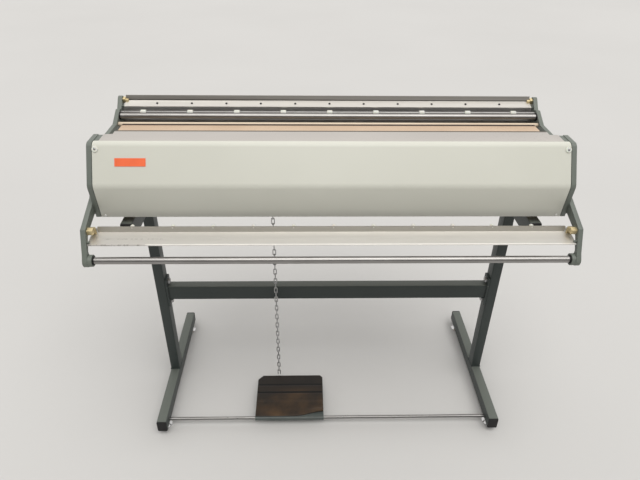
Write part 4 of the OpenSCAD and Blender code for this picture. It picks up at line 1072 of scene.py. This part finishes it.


# Folding flaps: extruded aluminium angles, brushed along their length. Their flanges face away from
# the light and are painted darker as shade. The upper one is dark in its bend; the lower one has a
# bright worn edge and two dotted scrapes at its left end. Both swing on brass blocks with pins.

scuff, entry, result = new_tree(
    "ShaderNodeTree",
    "scuff",
    {
        "Vector": "Vector",
        "Line at": "Float",
        "Line width": "Float",
        "From": "Float",
        "To": "Float",
        "Strength": "Float",
    },
    {"Mask": "Float"},
)
noise = add(scuff, "ShaderNodeTexNoise", Vector=entry.outputs["Vector"], Scale=120, Detail=4)
parts = add(scuff, "ShaderNodeSeparateXYZ", Vector=entry.outputs["Vector"])
off_line = reckon(scuff, "SUBTRACT", parts.outputs["Y"], entry.outputs["Line at"])
on_line = reckon(scuff, "LESS_THAN", reckon(scuff, "ABSOLUTE", off_line), entry.outputs["Line width"])
after = reckon(scuff, "GREATER_THAN", parts.outputs["X"], entry.outputs["From"])
before = reckon(scuff, "LESS_THAN", parts.outputs["X"], entry.outputs["To"])
broken = reckon(scuff, "MULTIPLY", reckon(scuff, "SUBTRACT", noise.outputs["Fac"], 0.5), 12.0, clamp=True)
dotted_line = reckon(scuff, "MULTIPLY", on_line, broken)
within = reckon(scuff, "MULTIPLY", dotted_line, reckon(scuff, "MULTIPLY", after, before))
feed(scuff, result.inputs["Mask"], reckon(scuff, "MULTIPLY", within, entry.outputs["Strength"]))

upper_bend, upper_flange = (0.9262, 0.9268), (0.9275, 0.9305)
lower_flange, front_edge, edge_start = (0.7297, 0.7303), (-0.2525, -0.2535), (-0.47, -0.45)
scrapes = ((-0.2355, 0.0006, -0.56, -0.42), (-0.2558, 0.0009, -0.6, -0.455))
bend_dark, upper_flange_shade, lower_flange_shade = (0.06, 0.055, 0.05), (0.35, 0.335, 0.31), (0.54, 0.52, 0.475)
edge_bright, scrape_grey = (0.98, 0.96, 0.92), (0.25, 0.24, 0.225)
for station in ("upper", "lower"):
    aluminium = finish(
        f"{station}_aluminium", (0.77, 0.75, 0.71), (0.70, 0.68, 0.645), (0.46, 0.58),
        metallic=1.0, cloud=1.2, grain=34, bump=0.00001, stretch=(0.35, 18, 18),
    )
    tree = aluminium.node_tree
    if station == "upper":
        overlay(aluminium, bend_dark, beyond(aluminium, "Z", *upper_bend))
        # Painted shade: the upright flange faces away from the light.
        overlay(aluminium, upper_flange_shade, beyond(aluminium, "Z", *upper_flange))
    else:
        # Painted shade: the flange faces away from the light.
        overlay(aluminium, lower_flange_shade, beyond(aluminium, "Z", *lower_flange))
        at_front = beyond(aluminium, "Y", *front_edge)
        past_start = beyond(aluminium, "X", *edge_start)
        overlay(aluminium, edge_bright, reckon(tree, "MULTIPLY", at_front, past_start))
        for at, width, left, right in scrapes:
            marks = add(
                tree, scuff,
                Vector=spot_of(aluminium), Line_at=at, Line_width=width, From=left, To=right, Strength=0.7,
            )
            overlay(aluminium, scrape_grey, marks.outputs["Mask"])
    flap, blocks, body = f"{station}_flap", f"{station}_pivot_blocks", f"{station}_flap_body"
    eased(flap, flap + "_angle", aluminium, body, "aluminium", width=0.0003, shortest=0.1)
    eased(blocks, f"{station}_pivot_brass", brass, body, "brass", width=0.0003, shortest=0.0045)


# Flap fasteners: black pan-head screws along the upper flap, white nylon studs behind the flange
# of the lower one. Both rows are evenly spaced over the width.

row_count, row_step = 11, (0.1, 0, 0)
blackened = finish(
    "blackened_screw", (0.012, 0.012, 0.013), (0.022, 0.021, 0.02), (0.3, 0.45),
    metallic=0.6, cloud=90, grain=900,
)
screw = pan_head(radius=0.00325, height=0.002, slot_w=0.0008)
screw_at, screw_turn = (-0.5, 0.18606, 0.92200), (math.radians(16), 0, 0)
screws = row_of_copies("flap_screw_heads", screw, row_count, screw_at, row_step, blackened, screw_turn)
settle(screws, "upper_flap_body", "black_screws", "upper_flap_screws")
stud = lathe(
    [
        (0, -0.0024), (0.0019, -0.0024), (0.0019, 0), (0.0047, 0), (0.005, 0.0004),
        (0.005, 0.0062), (0.0044, 0.0074), (0.0028, 0.008), (0, 0.008),
    ],
    24,
)
stud_at, stud_turn = (-0.5, -0.20738, 0.74122), (math.radians(-91), 0, 0)
studs = row_of_copies("flange_studs", stud, row_count, stud_at, row_step, nylon, stud_turn)
settle(studs, "lower_flap_body", "white_nylon", "lower_flap_studs")


# Pinch wheels: turned white nylon wheels with rounded shoulders, pressed on one thin steel shaft
# behind the upper bar, which rolls them.

wheel_low, wheel_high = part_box("pinch_wheels")
wheel_r, wheel_half, wheel_hole = (wheel_high.z - wheel_low.z) / 2, 0.008, 0.0041
wheel_count, wheel_step = 9, (0.134, 0, 0)
shoulder = [
    (wheel_hole, -wheel_half),
    (wheel_r - 0.0018, -wheel_half),
    (wheel_r - 0.0005, -wheel_half + 0.0006),
    (wheel_r, -wheel_half + 0.002),
]
wheel = lathe(shoulder + [(r, -z) for r, z in reversed(shoulder)] + shoulder[:1], 40)
wheel_at = (
    wheel_low.x + wheel_half,
    (wheel_low.y + wheel_high.y) / 2,
    (wheel_low.z + wheel_high.z) / 2,
)
wheels = row_of_copies("nylon_wheels", wheel, wheel_count, wheel_at, wheel_step, nylon, (0, quarter, 0))
settle(wheels, "pinch_body", "white_nylon", "pinch_wheels")
keep_node("pinch_wheel_shaft", drawn_rod)


# Rear guide: a bent sheet between the horns, painted plain grey, that closes the space behind the
# pinch wheels and under the upper flap and turns the paper's edge upward.

guide_paint = finish(
    "guide_paint", (0.25, 0.24, 0.235), (0.21, 0.20, 0.195), (0.4, 0.55),
    cloud=8, grain=900, bump=0.00006,
)
eased(
    "rear_guide", "rear_guide_sheet", guide_paint, "stand", "frame_paint", width=0.0004, shortest=0.02
)


# Floor, light and camera: a plain pale floor, one wide soft lamp overhead and a soft sky that is
# brighter above and behind. The camera stands in front, above the machine, and looks down on it.

floor = bmesh.new()
bmesh.ops.create_grid(floor, x_segments=2, y_segments=2, size=30)
ground = finish(
    "pale_floor", (0.55, 0.545, 0.535), (0.53, 0.525, 0.515), (0.75, 0.85), cloud=0.6, grain=40
)
made("floor", floor, ground)

lamp = bpy.data.lights.new("overhead", "SUN")
lamp.energy = 1.75
lamp.angle = math.radians(55)
lamp.color = (1, 0.985, 0.96)
overhead = bpy.data.objects.new("overhead", lamp)
overhead.rotation_euler = Vector((-0.12, 0.36, -0.92)).to_track_quat("-Z", "Y").to_euler()
bpy.context.scene.collection.objects.link(overhead)

world = bpy.data.worlds.new("studio")
world.use_nodes = True
tree = world.node_tree
facing = add(tree, "ShaderNodeVectorMath", ("operation", "DOT_PRODUCT"))
feed(tree, facing.inputs[0], add(tree, "ShaderNodeTexCoord").outputs["Generated"])
feed(tree, facing.inputs[1], (0, 0.45, 0.89))
fade = add(
    tree,
    "ShaderNodeMapRange",
    ("interpolation_type", "SMOOTHSTEP"),
    Value=facing.outputs["Value"],
    From_Min=-0.3,
    From_Max=0.75,
    To_Min=0.1,
    To_Max=0.95,
)
sky = tree.nodes["Background"]
feed(tree, sky.inputs["Strength"], fade.outputs["Result"])
feed(tree, sky.inputs["Color"], (1.0, 0.985, 0.965, 1))
bpy.context.scene.world = world
bpy.context.scene.view_settings.view_transform = "Standard"

pitch_down, yaw, roll = math.radians(32.92), math.radians(1.640), math.radians(0.7545)
eye, focal_px, picture_w = (-0.06725, -1.37520, 1.45930), 548.66, 640
forward = math.cos(pitch_down)
look = Vector((math.sin(yaw) * forward, math.cos(yaw) * forward, -math.sin(pitch_down)))
level = Vector((math.cos(yaw), -math.sin(yaw), 0))
upright = level.cross(look)
right = math.cos(roll) * level + math.sin(roll) * upright
up = -math.sin(roll) * level + math.cos(roll) * upright
lens = bpy.data.cameras.new("camera")
lens.sensor_width = 36.0
lens.lens = lens.sensor_width * focal_px / picture_w
lens.sensor_fit = "HORIZONTAL"
camera = bpy.data.objects.new("camera", lens)
axes = [(right[k], up[k], -look[k], eye[k]) for k in range(3)]
camera.matrix_world = Matrix((*axes, (0, 0, 0, 1)))
bpy.context.scene.collection.objects.link(camera)
bpy.context.scene.camera = camera
